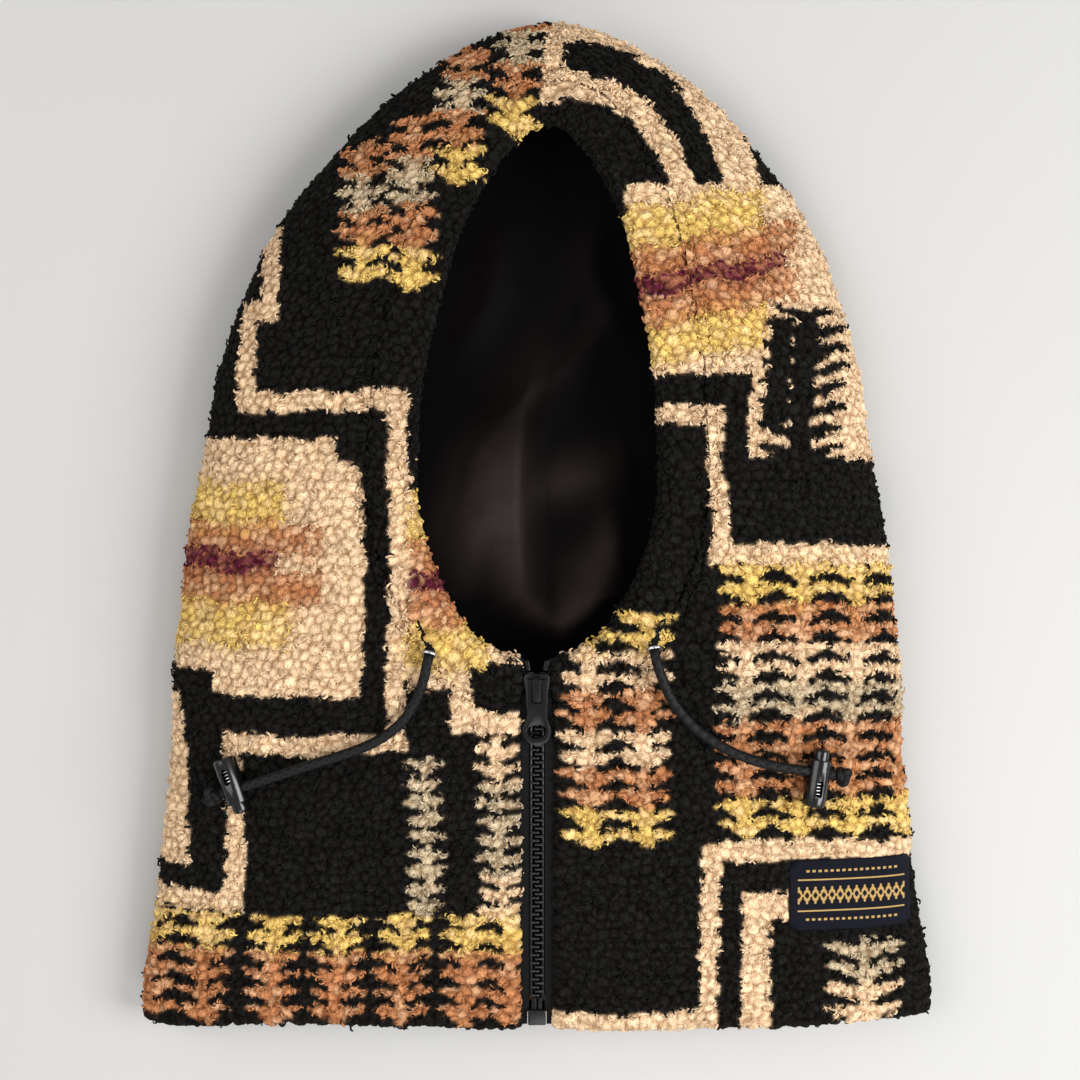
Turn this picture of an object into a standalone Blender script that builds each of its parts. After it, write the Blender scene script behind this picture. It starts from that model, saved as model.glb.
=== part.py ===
"""Zip-front hooded balaclava in curly pile fabric, modelled lying on its back.

X points to the viewer's right, Y from the hem to the crown, Z up. The origin is under
the middle of the hood on the surface it lies on. All sizes are in metres.
"""

import math

import bmesh
import bpy
from mathutils import Matrix, Vector

MM = 0.001

# The hood's outer shape
LENGTH = 428 * MM
HEM_WIDTH = 340 * MM
TAPER = 0.238  # share of the width lost from hem to crown, before the crown rounds in
CROWN_START = 180 * MM  # height above the hem where the crown starts to round in
SIDE_HEIGHT = 13 * MM  # height of the side fold's widest line
HEM_HEIGHT = 36 * MM  # crest of the front at the hem
FRONT_SLOPE = 0.09  # rise of the front from the hem to the chin
SLOPE_END = 165 * MM
SLOPE_EASE = 60 * MM
CROWN_LEAN = 7.7 * MM  # how far the crown lies over to the right
LEAN_START = 200 * MM
CROWN_CURVE = 0.625  # how fast the outline closes on the crown
BACK_CURVE = 0.5  # the section's back is nearly flat, with round side folds
BACK_FLATNESS = 1.08
CROWN_TIP = 0.4 * MM  # each half ends this much short of the crown's end
BACK_LIFT = 8  # power by which only the crown's very end lifts off the table
FRONT_CURVE = (0.75, 0.85)  # the section's front: powers of the cosine and the sine

# Cloth
PILE_THICKNESS = 6.0 * MM
LINING_THICKNESS = 1.4 * MM
LINING_GAP = 0.6 * MM
LINING_SETBACK = 4 * MM
GAP = 0.3 * MM

# Face opening and the channel round it
OPENING_BOTTOM = 156 * MM
OPENING_TOP = 378 * MM
OPENING_WIDTH = 100 * MM
CHANNEL_WIDTH = 24 * MM
CHANNEL_THICKNESS = 11 * MM
CHANNEL_CURVE = 0.8  # a little fuller than an ellipse
# Teardrop half outline: (share of half the width, share of the height)
OPENING_OUTLINE = (
    (0.0, 0.0),
    (0.28, 0.010),
    (0.52, 0.045),
    (0.71, 0.108),
    (0.88, 0.198),
    (0.99, 0.300),
    (0.99, 0.423),
    (0.93, 0.536),
    (0.84, 0.649),
    (0.68, 0.784),
    (0.52, 0.874),
    (0.34, 0.941),
    (0.17, 0.985),
    (0.0, 1.0),
)

# Zip, in the zip's own frame: X across, Y up the chain from the hem, Z out of the cloth
ZIP_DEPTH = 4.0 * MM  # the tape's middle plane below the front's crest
ZIP_SLOT = 15 * MM  # cloth edge to cloth edge
TAPE_WIDTH = 13 * MM
TAPE_THICKNESS = 0.8 * MM
CHAIN_WIDTH = 6.0 * MM
TEETH_THICKNESS = 2.6 * MM
TOOTH_PITCH = 3.5 * MM
TOOTH_REACH = 1.0 * MM  # how far a tooth's head passes the middle
SPINE_WIDTH = 1.1 * MM
PIN_TOP = 12 * MM
BOX_SIZE = (7.5 * MM, 7.0 * MM, 4.6 * MM)
SLIDER_LENGTH = 13 * MM
SLIDER_MOUTH = 10.6 * MM
SLIDER_TAIL = 8.6 * MM
SLIDER_PLATE = 1.0 * MM
SLIDER_TOP = 150 * MM
SLIDER_FORK = 5.6 * MM  # from the slider's lower end to the fork that parts the chain
SPLAY = 2.0 * MM  # how far each half of the chain stands off the middle at its top
STOP_LENGTH = 4.4 * MM
BAIL_WIDTH = 3.4 * MM
BAIL_HEIGHT = 3.2 * MM
BAIL_WIRE = 1.0 * MM
BAR_LIFT = 1.1 * MM  # the pull's bar above the slider's plate
PULL_LENGTH = 26.5 * MM
PULL_THICKNESS = 1.4 * MM
PULL_RING = 11.6 * MM
PULL_WAIST = 8.0 * MM
PULL_HOLE = (8.4 * MM, 6.0 * MM)

# Drawcord
CORD = 4.2 * MM
CORD_ROOM = 0.5 * MM  # room round the cord in the channel and in the locks
EYELET_OUTER = 6.8 * MM
EYELET_THICKNESS = 1.2 * MM
KNOT_SIZE = (7.6 * MM, 9.0 * MM, 7.0 * MM)

# Cord locks, along the barrel's own Z from the closed end to the open end
BARREL = 9.6 * MM
BARREL_LENGTH = 19.5 * MM
BARREL_END_WALL = 3.0 * MM
BORE = 7.0 * MM
PLUNGER = 6.4 * MM
PLUNGER_STANDOUT = 4.6 * MM
PLUNGER_TRAVEL = 2.6 * MM
CROSS_HOLE_AT = 14.0 * MM
WINDOW = (2.8 * MM, 7.0 * MM)
WINDOW_AT = 7.6 * MM
SPRING_WIRE = 0.7 * MM
SPRING_TURNS = 4.5

# Woven label on the right of the hem
LABEL_SIZE = (54 * MM, 30 * MM)
LABEL_THICKNESS = 0.9 * MM
LABEL_FROM_SIDE = 37 * MM  # the label's middle, inward from the hem's corner
LABEL_HEIGHT = 55 * MM  # the label's middle above the hem

# Where each free cord runs, from its eyelet to its knot. x, y, z
LEFT_ROUTE = (
    (-0.0440, -0.0570, 0.0527),
    (-0.0447, -0.0600, 0.0540),
    (-0.0460, -0.0660, 0.0535),
    (-0.0495, -0.0755, 0.0509),
    (-0.0560, -0.0850, 0.0496),
    (-0.0660, -0.0925, 0.0484),
    (-0.0780, -0.0975, 0.0478),
    (-0.0900, -0.1014, 0.0474),
    (-0.1000, -0.1047, 0.0464),
    (-0.1100, -0.1081, 0.0448),
    (-0.1200, -0.1116, 0.0431),
    (-0.1313, -0.1155, 0.0411),
)
RIGHT_ROUTE = (
    (0.0480, -0.0550, 0.0524),
    (0.0486, -0.0580, 0.0537),
    (0.0505, -0.0645, 0.0533),
    (0.0555, -0.0755, 0.0507),
    (0.0640, -0.0860, 0.0492),
    (0.0740, -0.0935, 0.0482),
    (0.0840, -0.0985, 0.0478),
    (0.0940, -0.1018, 0.0475),
    (0.1030, -0.1037, 0.0468),
    (0.1100, -0.1048, 0.0459),
    (0.1180, -0.1061, 0.0447),
    (0.1230, -0.1069, 0.0440),
)
LOCK_POINTS = {"left": (10, 11), "right": (9, 11)}  # route points each side of the lock


def outline_width(h, inset, crown_end):
    """Half the width at a height above the hem, inset from the outer skin."""
    u = min(max((h - CROWN_START) / (crown_end - CROWN_START), 0.0), 1.0)
    width = 0.5 * HEM_WIDTH * (1.0 - TAPER * h / LENGTH) - inset
    return width * (1.0 - u**3) ** CROWN_CURVE


def front_crest(h):
    """Height of the front's middle line before the crown rounds down."""
    if h <= SLOPE_END:
        return HEM_HEIGHT + FRONT_SLOPE * h
    rise = SLOPE_EASE * (1.0 - math.exp((SLOPE_END - h) / SLOPE_EASE))
    return HEM_HEIGHT + FRONT_SLOPE * (SLOPE_END + rise)


def section_sizes(h, inset):
    """Half width, bottom and top of the bag's cross-section at a height above the hem."""
    crown_end = LENGTH - inset
    u = min(max((h - CROWN_START) / (crown_end - CROWN_START), 0.0), 1.0)
    top = SIDE_HEIGHT + (front_crest(h) - inset - SIDE_HEIGHT) * math.sqrt(1.0 - u**3)
    bottom = SIDE_HEIGHT - (SIDE_HEIGHT - inset) * math.sqrt(1.0 - u**BACK_LIFT)
    return outline_width(h, inset, crown_end), bottom, top


def top_height(x, h, inset=0.0):
    """Height of the front skin over a point, before the crown's lean."""
    width, _, top = section_sizes(h, inset)
    c = min(abs(x) / width, 1.0) ** (1.0 / FRONT_CURVE[0])
    return SIDE_HEIGHT + (top - SIDE_HEIGHT) * math.sqrt(1.0 - c * c) ** FRONT_CURVE[1]


def lean(h):
    return CROWN_LEAN * (max(h - LEAN_START, 0.0) / (LENGTH - LEAN_START)) ** 2


def place(x, h, z):
    """A point of the cloth, with the crown leaning to the right."""
    return Vector((x + lean(h), h - 0.5 * LENGTH, z))


def half_section(h, inset, count):
    """Points (x, z) from the middle of the back, round the side, to the middle of the front."""
    width, bottom, top = section_sizes(h, inset)
    fine = []
    for i in range(241):
        angle = math.pi * (i / 240.0 - 0.5)
        c = max(math.cos(angle), 0.0)
        s = abs(math.sin(angle))
        if angle < 0:
            x = width * c**BACK_CURVE
            drop = BACK_FLATNESS * (SIDE_HEIGHT - bottom) * s**BACK_CURVE
            z = max(bottom, SIDE_HEIGHT - drop)
        else:
            x = width * c ** FRONT_CURVE[0]
            z = SIDE_HEIGHT + (top - SIDE_HEIGHT) * s ** FRONT_CURVE[1]
        fine.append((x, z))
    # Points gather where the cloth bends: the measure adds the turning to the distance.
    measure = [0.0]
    reach = sum(math.dist(a, b) for a, b in zip(fine, fine[1:]))
    heading = None
    for a, b in zip(fine, fine[1:]):
        step = math.dist(a, b)
        turn = 0.0
        if step > 1e-9:
            new_heading = math.atan2(b[1] - a[1], b[0] - a[0])
            if heading is not None:
                turn = abs((new_heading - heading + math.pi) % (2 * math.pi) - math.pi)
            heading = new_heading
        measure.append(measure[-1] + step / reach + turn / math.pi)
    points = []
    j = 0
    for i in range(count):
        wanted = measure[-1] * i / (count - 1)
        while j < len(fine) - 2 and measure[j + 1] < wanted:
            j += 1
        span = measure[j + 1] - measure[j]
        f = (wanted - measure[j]) / span if span > 0 else 0.0
        f = min(max(f, 0.0), 1.0)
        points.append(tuple(p + (q - p) * f for p, q in zip(fine[j], fine[j + 1])))
    points[0] = (0.0, bottom)
    points[-1] = (0.0, top)
    return points


def row_heights(start, inset):
    """Heights of the bag's rings: even up to the crown, then closing in on its end."""
    straight = 5
    crown = 13
    rows = [start + (CROWN_START - start) * i / straight for i in range(straight)]
    rise = LENGTH - inset - CROWN_START
    for i in range(crown):
        rows.append(CROWN_START + rise * math.sin(0.5 * math.pi * i / crown) ** (2 / 3))
    return rows


def new_object(name, bm, collection, parent=None):
    mesh = bpy.data.meshes.new(name)
    bm.to_mesh(mesh)
    bm.free()
    obj = bpy.data.objects.new(name, mesh)
    collection.objects.link(obj)
    obj.parent = parent
    return obj


def loft(bm, rings, tip=None):
    """A closed skin through rings of equally many points, capped, or closed on a tip."""
    loops = [[bm.verts.new(point) for point in ring] for ring in rings]
    for low, high in zip(loops, loops[1:]):
        for i in range(len(low)):
            j = (i + 1) % len(low)
            bm.faces.new((low[i], low[j], high[j], high[i]))
    bm.faces.new(loops[0])
    if tip is None:
        bm.faces.new(loops[-1])
    else:
        end = bm.verts.new(tip)
        for i in range(len(loops[-1])):
            bm.faces.new((loops[-1][i], loops[-1][(i + 1) % len(loops[-1])], end))
    bmesh.ops.recalc_face_normals(bm, faces=bm.faces)


def half_bag(side, inset, start, edge, count=24):
    """One side of the bag as a filled solid, flat at a small distance from the middle."""
    bm = bmesh.new()
    rings = []
    for h in [*row_heights(start, inset), LENGTH - inset - CROWN_TIP]:
        section = half_section(h, inset, count)
        rings.append([place(side * max(x, edge), h, z) for x, z in section])
    loft(bm, rings)
    return bm


def full_bag(inset, start, count=24):
    """The whole bag as a filled solid."""
    bm = bmesh.new()
    rings = []
    for h in row_heights(start, inset):
        half = half_section(h, inset, count)
        ring = [place(x, h, z) for x, z in half]
        ring += [place(-x, h, z) for x, z in reversed(half[1:-1])]
        rings.append(ring)
    loft(bm, rings, tip=place(0.0, LENGTH - inset, SIDE_HEIGHT))
    return bm


def smooth_curve(points, per_span):
    """Points on a Catmull-Rom curve through the given points."""
    points = [Vector(p) for p in points]
    ends = [2 * points[0] - points[1]] + points + [2 * points[-1] - points[-2]]
    found = []
    for a, b, c, d in zip(ends, ends[1:], ends[2:], ends[3:]):
        for i in range(per_span):
            t = i / per_span
            found.append(
                0.5
                * (
                    2 * b
                    + (c - a) * t
                    + (2 * a - 5 * b + 4 * c - d) * t * t
                    + (3 * b - a - 3 * c + d) * t**3
                )
            )
    found.append(points[-1])
    return found


def even_points(points, spacing):
    """The same line with its points evenly apart."""
    run = [0.0]
    for a, b in zip(points, points[1:]):
        run.append(run[-1] + (b - a).length)
    count = max(2, round(run[-1] / spacing))
    even = []
    j = 0
    for i in range(count + 1):
        wanted = run[-1] * i / count
        while j < len(points) - 2 and run[j + 1] < wanted:
            j += 1
        f = (wanted - run[j]) / (run[j + 1] - run[j])
        even.append(points[j].lerp(points[j + 1], min(max(f, 0.0), 1.0)))
    return even


def opening_edge(offset, count=30):
    """Half the teardrop, bottom to top, moved outwards: points (x, height above the hem)."""
    height = OPENING_TOP - OPENING_BOTTOM
    shape = []
    for x, h in OPENING_OUTLINE:
        shape.append((0.5 * OPENING_WIDTH * x, OPENING_BOTTOM + height * h, 0.0))
    # The mirror images of the second points make the curve level where it meets the middle.
    whole = [(-shape[1][0], shape[1][1], 0.0), *shape, (-shape[-2][0], shape[-2][1], 0.0)]
    fine = smooth_curve(whole, 12)[12:-12]
    fine = even_points(fine, (height * 1.5) / count)
    moved = []
    for i, point in enumerate(fine):
        ahead = fine[min(i + 1, len(fine) - 1)]
        behind = fine[max(i - 1, 0)]
        along = (ahead - behind).normalized()
        if i in (0, len(fine) - 1):
            along = Vector((1.0 if i == 0 else -1.0, 0.0, 0.0))
        moved.append((point.x + along.y * offset, point.y - along.x * offset))
    return moved


def prism(outline, low, high):
    """A flat outline extruded from one height to another."""
    bm = bmesh.new()
    face = bm.faces.new([bm.verts.new((x, y, low)) for x, y in outline])
    raised = bmesh.ops.extrude_face_region(bm, geom=[face])["geom"]
    verts = [v for v in raised if isinstance(v, bmesh.types.BMVert)]
    bmesh.ops.translate(bm, vec=(0, 0, high - low), verts=verts)
    bmesh.ops.recalc_face_normals(bm, faces=bm.faces)
    return bm


def block(low, high):
    """A box between two corners."""
    bm = bmesh.new()
    low, high = Vector(low), Vector(high)
    bmesh.ops.create_cube(bm, size=1.0)
    bmesh.ops.scale(bm, vec=high - low, verts=bm.verts)
    bmesh.ops.translate(bm, vec=(low + high) / 2, verts=bm.verts)
    return bm


def turned(profile, steps):
    """A profile of (radius, height) turned about Z."""
    bm = bmesh.new()
    verts = [bm.verts.new((r, 0.0, z)) for r, z in profile]
    edges = [bm.edges.new((a, b)) for a, b in zip(verts, verts[1:])]
    if profile[0][0] > 0:
        edges.append(bm.edges.new((verts[-1], verts[0])))
    bmesh.ops.spin(
        bm,
        geom=verts + edges,
        cent=(0, 0, 0),
        axis=(0, 0, 1),
        dvec=(0, 0, 0),
        angle=2 * math.pi,
        steps=steps,
        use_merge=True,
        use_duplicate=False,
    )
    bmesh.ops.remove_doubles(bm, verts=bm.verts, dist=1e-6)
    bmesh.ops.recalc_face_normals(bm, faces=bm.faces)
    return bm


def cut(obj, cutter, operation="DIFFERENCE"):
    modifier = obj.modifiers.new(cutter.name, "BOOLEAN")
    modifier.operation = operation
    modifier.object = cutter
    modifier.solver = "EXACT"


def tube(name, points, radius, collection, resolution=2):
    """A round tube along points, with closed ends."""
    curve = bpy.data.curves.new(name, "CURVE")
    curve.dimensions = "3D"
    curve.bevel_depth = radius
    curve.bevel_resolution = resolution
    curve.use_fill_caps = True
    spline = curve.splines.new("POLY")
    spline.points.add(len(points) - 1)
    for dot, point in zip(spline.points, points):
        dot.co = (*point, 1.0)
    obj = bpy.data.objects.new(name, curve)
    collection.objects.link(obj)
    return obj


def as_mesh(obj, collection):
    """The curve as a mesh with welded caps, under the same name."""
    bpy.context.view_layer.update()
    graph = bpy.context.evaluated_depsgraph_get()
    mesh = bpy.data.meshes.new_from_object(obj.evaluated_get(graph))
    bm = bmesh.new()
    bm.from_mesh(mesh)
    bmesh.ops.remove_doubles(bm, verts=bm.verts, dist=1e-6)
    bm.to_mesh(mesh)
    bm.free()
    name, matrix = obj.name, obj.matrix_world.copy()
    bpy.data.objects.remove(obj)
    made = bpy.data.objects.new(name, mesh)
    made.matrix_world = matrix
    collection.objects.link(made)
    return made


def as_cutter(obj):
    obj.hide_render = True
    obj.display_type = "WIRE"
    return obj


def finish(name, color, roughness, metallic=0.0):
    """A material of the piece's own."""
    material = bpy.data.materials.new(name)
    material.use_nodes = True
    shader = material.node_tree.nodes["Principled BSDF"]
    shader.inputs["Base Color"].default_value = (*color, 1.0)
    shader.inputs["Roughness"].default_value = roughness
    shader.inputs["Metallic"].default_value = metallic
    return material


def dress(obj, material, smooth=True):
    obj.data.materials.append(material)
    if smooth and obj.type == "MESH":
        obj.data.shade_smooth()
        obj.data.set_sharp_from_angle(angle=math.radians(40))
    return obj


def face_hole(name, offset, helpers):
    """The upright prism that opens the front round the face."""
    right = opening_edge(offset)
    left = [(-x, h) for x, h in reversed(right[1:-1])]
    outline = []
    for x, h in right + left:
        spot = place(x, h, 0.0)
        outline.append((spot.x, spot.y))
    bm = prism(outline, SIDE_HEIGHT + 2 * MM, HEM_HEIGHT + 60 * MM)
    return as_cutter(new_object(name, bm, helpers))


def make_cloth(parts, helpers, looks, zip_line):
    """The pile shell and the lining, each in a left and a right half."""
    chin = OPENING_BOTTOM
    slot = block(
        (-0.5 * ZIP_SLOT, -20 * MM, -14 * MM), (0.5 * ZIP_SLOT, chin, 30 * MM)
    )
    slot = as_cutter(new_object("zip_slot", slot, helpers, zip_line))
    reach = 0.5 * CHAIN_WIDTH + GAP + TAPE_WIDTH + GAP
    room = 0.5 * TAPE_THICKNESS + GAP
    pocket = block((-reach, -20 * MM, -room), (reach, chin + GAP, room))
    pocket = as_cutter(new_object("tape_pocket", pocket, helpers, zip_line))
    face = face_hole("face_hole", CHANNEL_WIDTH + 2 * GAP, helpers)
    layers = (
        ("shell", 0.0, PILE_THICKNESS, 0.0),
        ("lining", PILE_THICKNESS + LINING_GAP, LINING_THICKNESS, LINING_SETBACK),
    )
    for layer, inset, thickness, setback in layers:
        hollow = full_bag(inset + thickness, setback - 30 * MM)
        hollow = as_cutter(new_object(layer + "_hollow", hollow, helpers))
        for name, side in (("left", -1), ("right", 1)):
            bm = half_bag(side, inset, setback, 0.5 * GAP)
            obj = new_object(layer + "_" + name, bm, parts)
            for cutter in (hollow, face, slot):
                cut(obj, cutter)
            if layer == "shell":
                cut(obj, pocket)
            dress(obj, looks[layer])
    return pocket


def height_at(edge, x):
    """The height above the hem where the lower part of an edge passes a distance out."""
    for (xa, ha), (xb, hb) in zip(edge, edge[1:]):
        if xa <= x <= xb:
            return ha + (hb - ha) * (x - xa) / (xb - xa)
    raise ValueError("the edge doesn't reach so far out")


def channel_rings(side):
    """Rings of the flat tube that edges the face opening, from the zip to the crown."""
    inner = opening_edge(0.0)
    outer = opening_edge(CHANNEL_WIDTH)
    rings = []
    start = 0.5 * ZIP_SLOT
    for i, ((xi, hi), (xo, ho)) in enumerate(zip(inner, outer)):
        if i == 0:
            xi = xo = start
            hi, ho = height_at(inner, start), height_at(outer, start)
        elif i == len(inner) - 1:
            xi = xo = 0.5 * GAP
        elif min(xi, xo) < start + 2 * MM:
            continue
        near = Vector((xi, hi, top_height(xi, hi)))
        far = Vector((xo, ho, top_height(xo, ho)))
        across = (far - near).normalized()
        middle = 0.5 * (near + far) - Vector((0, 0, 0.5 * CHANNEL_THICKNESS))
        up = Vector((0, 0, 1))
        ring = []
        for k in range(12):
            angle = 2 * math.pi * k / 12
            c, s = math.cos(angle), math.sin(angle)
            out = math.copysign(abs(c) ** CHANNEL_CURVE, c) * 0.5 * (far - near).length
            rise = math.copysign(abs(s) ** CHANNEL_CURVE, s) * 0.5 * CHANNEL_THICKNESS
            spot = middle + across * out + up * rise
            ring.append(place(side * spot.x, spot.y, spot.z))
        rings.append(ring)
    return rings


def hidden_route():
    """The cord's way through the channels, from one eyelet's outer face to the other's."""
    middle = opening_edge(0.5 * CHANNEL_WIDTH)
    drop = 0.5 * CHANNEL_THICKNESS
    halves = []
    for side, route in ((-1, LEFT_ROUTE), (1, RIGHT_ROUTE)):
        start, onward = Vector(route[0]), Vector(route[1])
        out = (onward - start).normalized()
        inward = [start - out * GAP, start - out * 3.0 * MM]
        keep = []
        for x, h in middle:
            if h > start.y + 0.5 * LENGTH + 34 * MM or (x < 20 * MM and h > OPENING_TOP):
                keep.append(place(side * x, h, top_height(x, h) - drop))
        below = keep[0]
        turn = inward[-1].lerp(below, 0.42)
        turn.x += side * 2.4 * MM
        turn.z = min(turn.z, below.z)
        halves.append([*inward, turn, *keep])
    left, right = halves
    route = left[:-1] + [0.5 * (left[-1] + right[-1])] + right[:-1][::-1]
    return [route[0], *cord_points(route[1:-1], 2.4 * CORD), route[-1]]


def cord_points(route, spacing):
    return even_points(smooth_curve(route, 8), spacing)


def turn_to(direction, sideways=None):
    """Rotation that turns Z to a direction, and Y as near as it can to another."""
    z = Vector(direction).normalized()
    y = Vector(sideways) if sideways else Vector((0, 1, 0))
    x = y.cross(z).normalized()
    y = z.cross(x)
    return Matrix((x, y, z)).transposed().to_4x4()


def make_channel(parts, helpers, looks, pocket):
    """The folded channel round the face, its drawcord and the two eyelets."""
    route = hidden_route()
    cord = as_mesh(tube("drawcord_in_channel", route, 0.5 * CORD, parts), parts)
    dress(cord, looks["cord"])
    for name, side, free in (("left", -1, LEFT_ROUTE), ("right", 1, RIGHT_ROUTE)):
        bm = bmesh.new()
        loft(bm, channel_rings(side))
        obj = new_object("face_channel_" + name, bm, parts)
        start = Vector(free[0])
        out = (Vector(free[1]) - start).normalized()
        way = [start + out * 12 * MM, *(route if name == "left" else route[::-1])]
        bore = tube("bore_" + name, way, 0.5 * CORD + CORD_ROOM, helpers)
        cut(obj, as_cutter(as_mesh(bore, helpers)))
        seat = turned(
            (
                (0.0, -EYELET_THICKNESS - GAP),
                (0.5 * EYELET_OUTER + GAP, -EYELET_THICKNESS - GAP),
                (0.5 * EYELET_OUTER + GAP, 8 * MM),
                (0.0, 8 * MM),
            ),
            20,
        )
        seat = as_cutter(new_object("eyelet_seat_" + name, seat, helpers))
        seat.matrix_world = Matrix.Translation(start) @ turn_to(out)
        cut(obj, seat)
        cut(obj, pocket)
        dress(obj, looks["shell"])
        hole = 0.5 * CORD + CORD_ROOM - 0.1 * MM
        ring = turned(
            (
                (hole, -EYELET_THICKNESS),
                (0.5 * EYELET_OUTER, -EYELET_THICKNESS),
                (0.5 * EYELET_OUTER, -0.3 * MM),
                (0.5 * EYELET_OUTER - 0.3 * MM, 0.0),
                (hole, 0.0),
            ),
            20,
        )
        eyelet = new_object("eyelet_" + name, ring, parts)
        eyelet.matrix_world = Matrix.Translation(start) @ turn_to(out)
        dress(eyelet, looks["metal"])


def splay(y):
    """How far the chain's half stands off the middle at a height up the zip."""
    start = SLIDER_TOP - SLIDER_LENGTH + SLIDER_FORK
    f = min(max((y - start) / (OPENING_BOTTOM - start), 0.0), 1.0)
    return SPLAY * f * f * (3 - 2 * f)


def make_chain(parts, looks, zip_line):
    """Two tapes, two combs of teeth, the stops, the pin and the box."""
    spine_out = 0.5 * CHAIN_WIDTH
    spine_in = spine_out - SPINE_WIDTH
    top = SLIDER_TOP - SLIDER_LENGTH + SLIDER_FORK - GAP
    tooth = 0.5 * TOOTH_PITCH - GAP
    count = int((top - PIN_TOP - GAP) / TOOTH_PITCH - 0.5)
    half_tape = 0.5 * TAPE_THICKNESS
    for name, side, phase in (("left", -1, 0.0), ("right", 1, 0.5)):
        low = PIN_TOP + GAP
        inner = []
        for i in range(count):
            y = low + (i + phase + 0.25) * TOOTH_PITCH - 0.5 * tooth
            for dy, x in (
                (0.0, spine_in),
                (0.0, -TOOTH_REACH),
                (tooth, -TOOTH_REACH),
                (tooth, spine_in),
            ):
                inner.append((side * x, y + dy))
        high = inner[-1][1] + 0.4 * MM
        ends = [(side * x, y) for x, y in ((spine_in, high), (spine_out, high), (spine_out, low))]
        outline = [(side * spine_in, low), *inner, *ends]
        bm = prism(outline, -0.5 * TEETH_THICKNESS, 0.5 * TEETH_THICKNESS)
        dress(new_object("zip_teeth_" + name, bm, parts, zip_line), looks["zip"], False)

        edge = spine_out + GAP
        foot = 0.5 * BOX_SIZE[0] + GAP
        low = BOX_SIZE[1] + GAP
        near = [
            (side * (edge + splay(y)), y) for y in spine_stations(low, OPENING_BOTTOM)
        ]
        far = side * (edge + TAPE_WIDTH)
        outline = [(side * foot, GAP), (side * foot, low), *near]
        outline += [(far, OPENING_BOTTOM), (far, GAP)]
        bm = prism(outline, -half_tape, half_tape)
        dress(new_object("zip_tape_" + name, bm, parts, zip_line), looks["tape"], False)

        bottom = SLIDER_TOP + 1.0 * MM
        stop = [
            (side * (spine_in - 0.9 * MM + splay(bottom)), bottom),
            (side * (spine_out + splay(bottom)), bottom),
            (side * (spine_out + splay(bottom) + 0.9 * MM), bottom + STOP_LENGTH),
            (side * (spine_in + splay(bottom)), bottom + STOP_LENGTH),
        ]
        bm = prism(stop, -0.5 * TEETH_THICKNESS, 0.5 * TEETH_THICKNESS)
        bmesh.ops.bevel(
            bm,
            geom=bm.edges[:],
            offset=0.3 * MM,
            segments=1,
            affect="EDGES",
            profile=0.5,
        )
        dress(new_object("zip_top_stop_" + name, bm, parts, zip_line), looks["zip"])


def spine_stations(low, high):
    """Heights along the chain: its two ends, and closer together where it splays."""
    start = SLIDER_TOP - SLIDER_LENGTH + SLIDER_FORK
    count = 6
    return [low] + [start + (high - start) * i / count for i in range(count + 1)]


def make_foot(parts, helpers, looks, zip_line):
    """The box with its fixed pin on the left, and the loose pin on the right."""
    width, length, depth = BOX_SIZE
    pin = 1.9 * MM
    thick = 0.5 * TEETH_THICKNESS - 0.1 * MM
    bottom = GAP
    box = block((-0.5 * width, bottom, -0.5 * depth), (0.5 * width, length, 0.5 * depth))
    bmesh.ops.bevel(
        box, geom=box.edges[:], offset=0.5 * MM, segments=2, affect="EDGES", profile=0.5
    )
    box = new_object("zip_box", box, parts, zip_line)
    fixed = block((-GAP - pin, length - 1 * MM, -thick), (-GAP, PIN_TOP, thick))
    fixed = as_cutter(new_object("fixed_pin", fixed, helpers, zip_line))
    cut(box, fixed, "UNION")
    socket = block(
        (0.0, bottom - 2 * MM, -thick - GAP), (pin + 3 * GAP, length + 2 * MM, thick + GAP)
    )
    socket = as_cutter(new_object("pin_socket", socket, helpers, zip_line))
    cut(box, socket)
    dress(box, looks["zip"])
    loose = block((GAP, bottom + GAP, -thick), (GAP + pin, PIN_TOP, thick))
    bmesh.ops.bevel(
        loose, geom=loose.edges[:], offset=0.25 * MM, segments=1, affect="EDGES", profile=0.5
    )
    dress(new_object("zip_pin", loose, parts, zip_line), looks["zip"])


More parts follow.
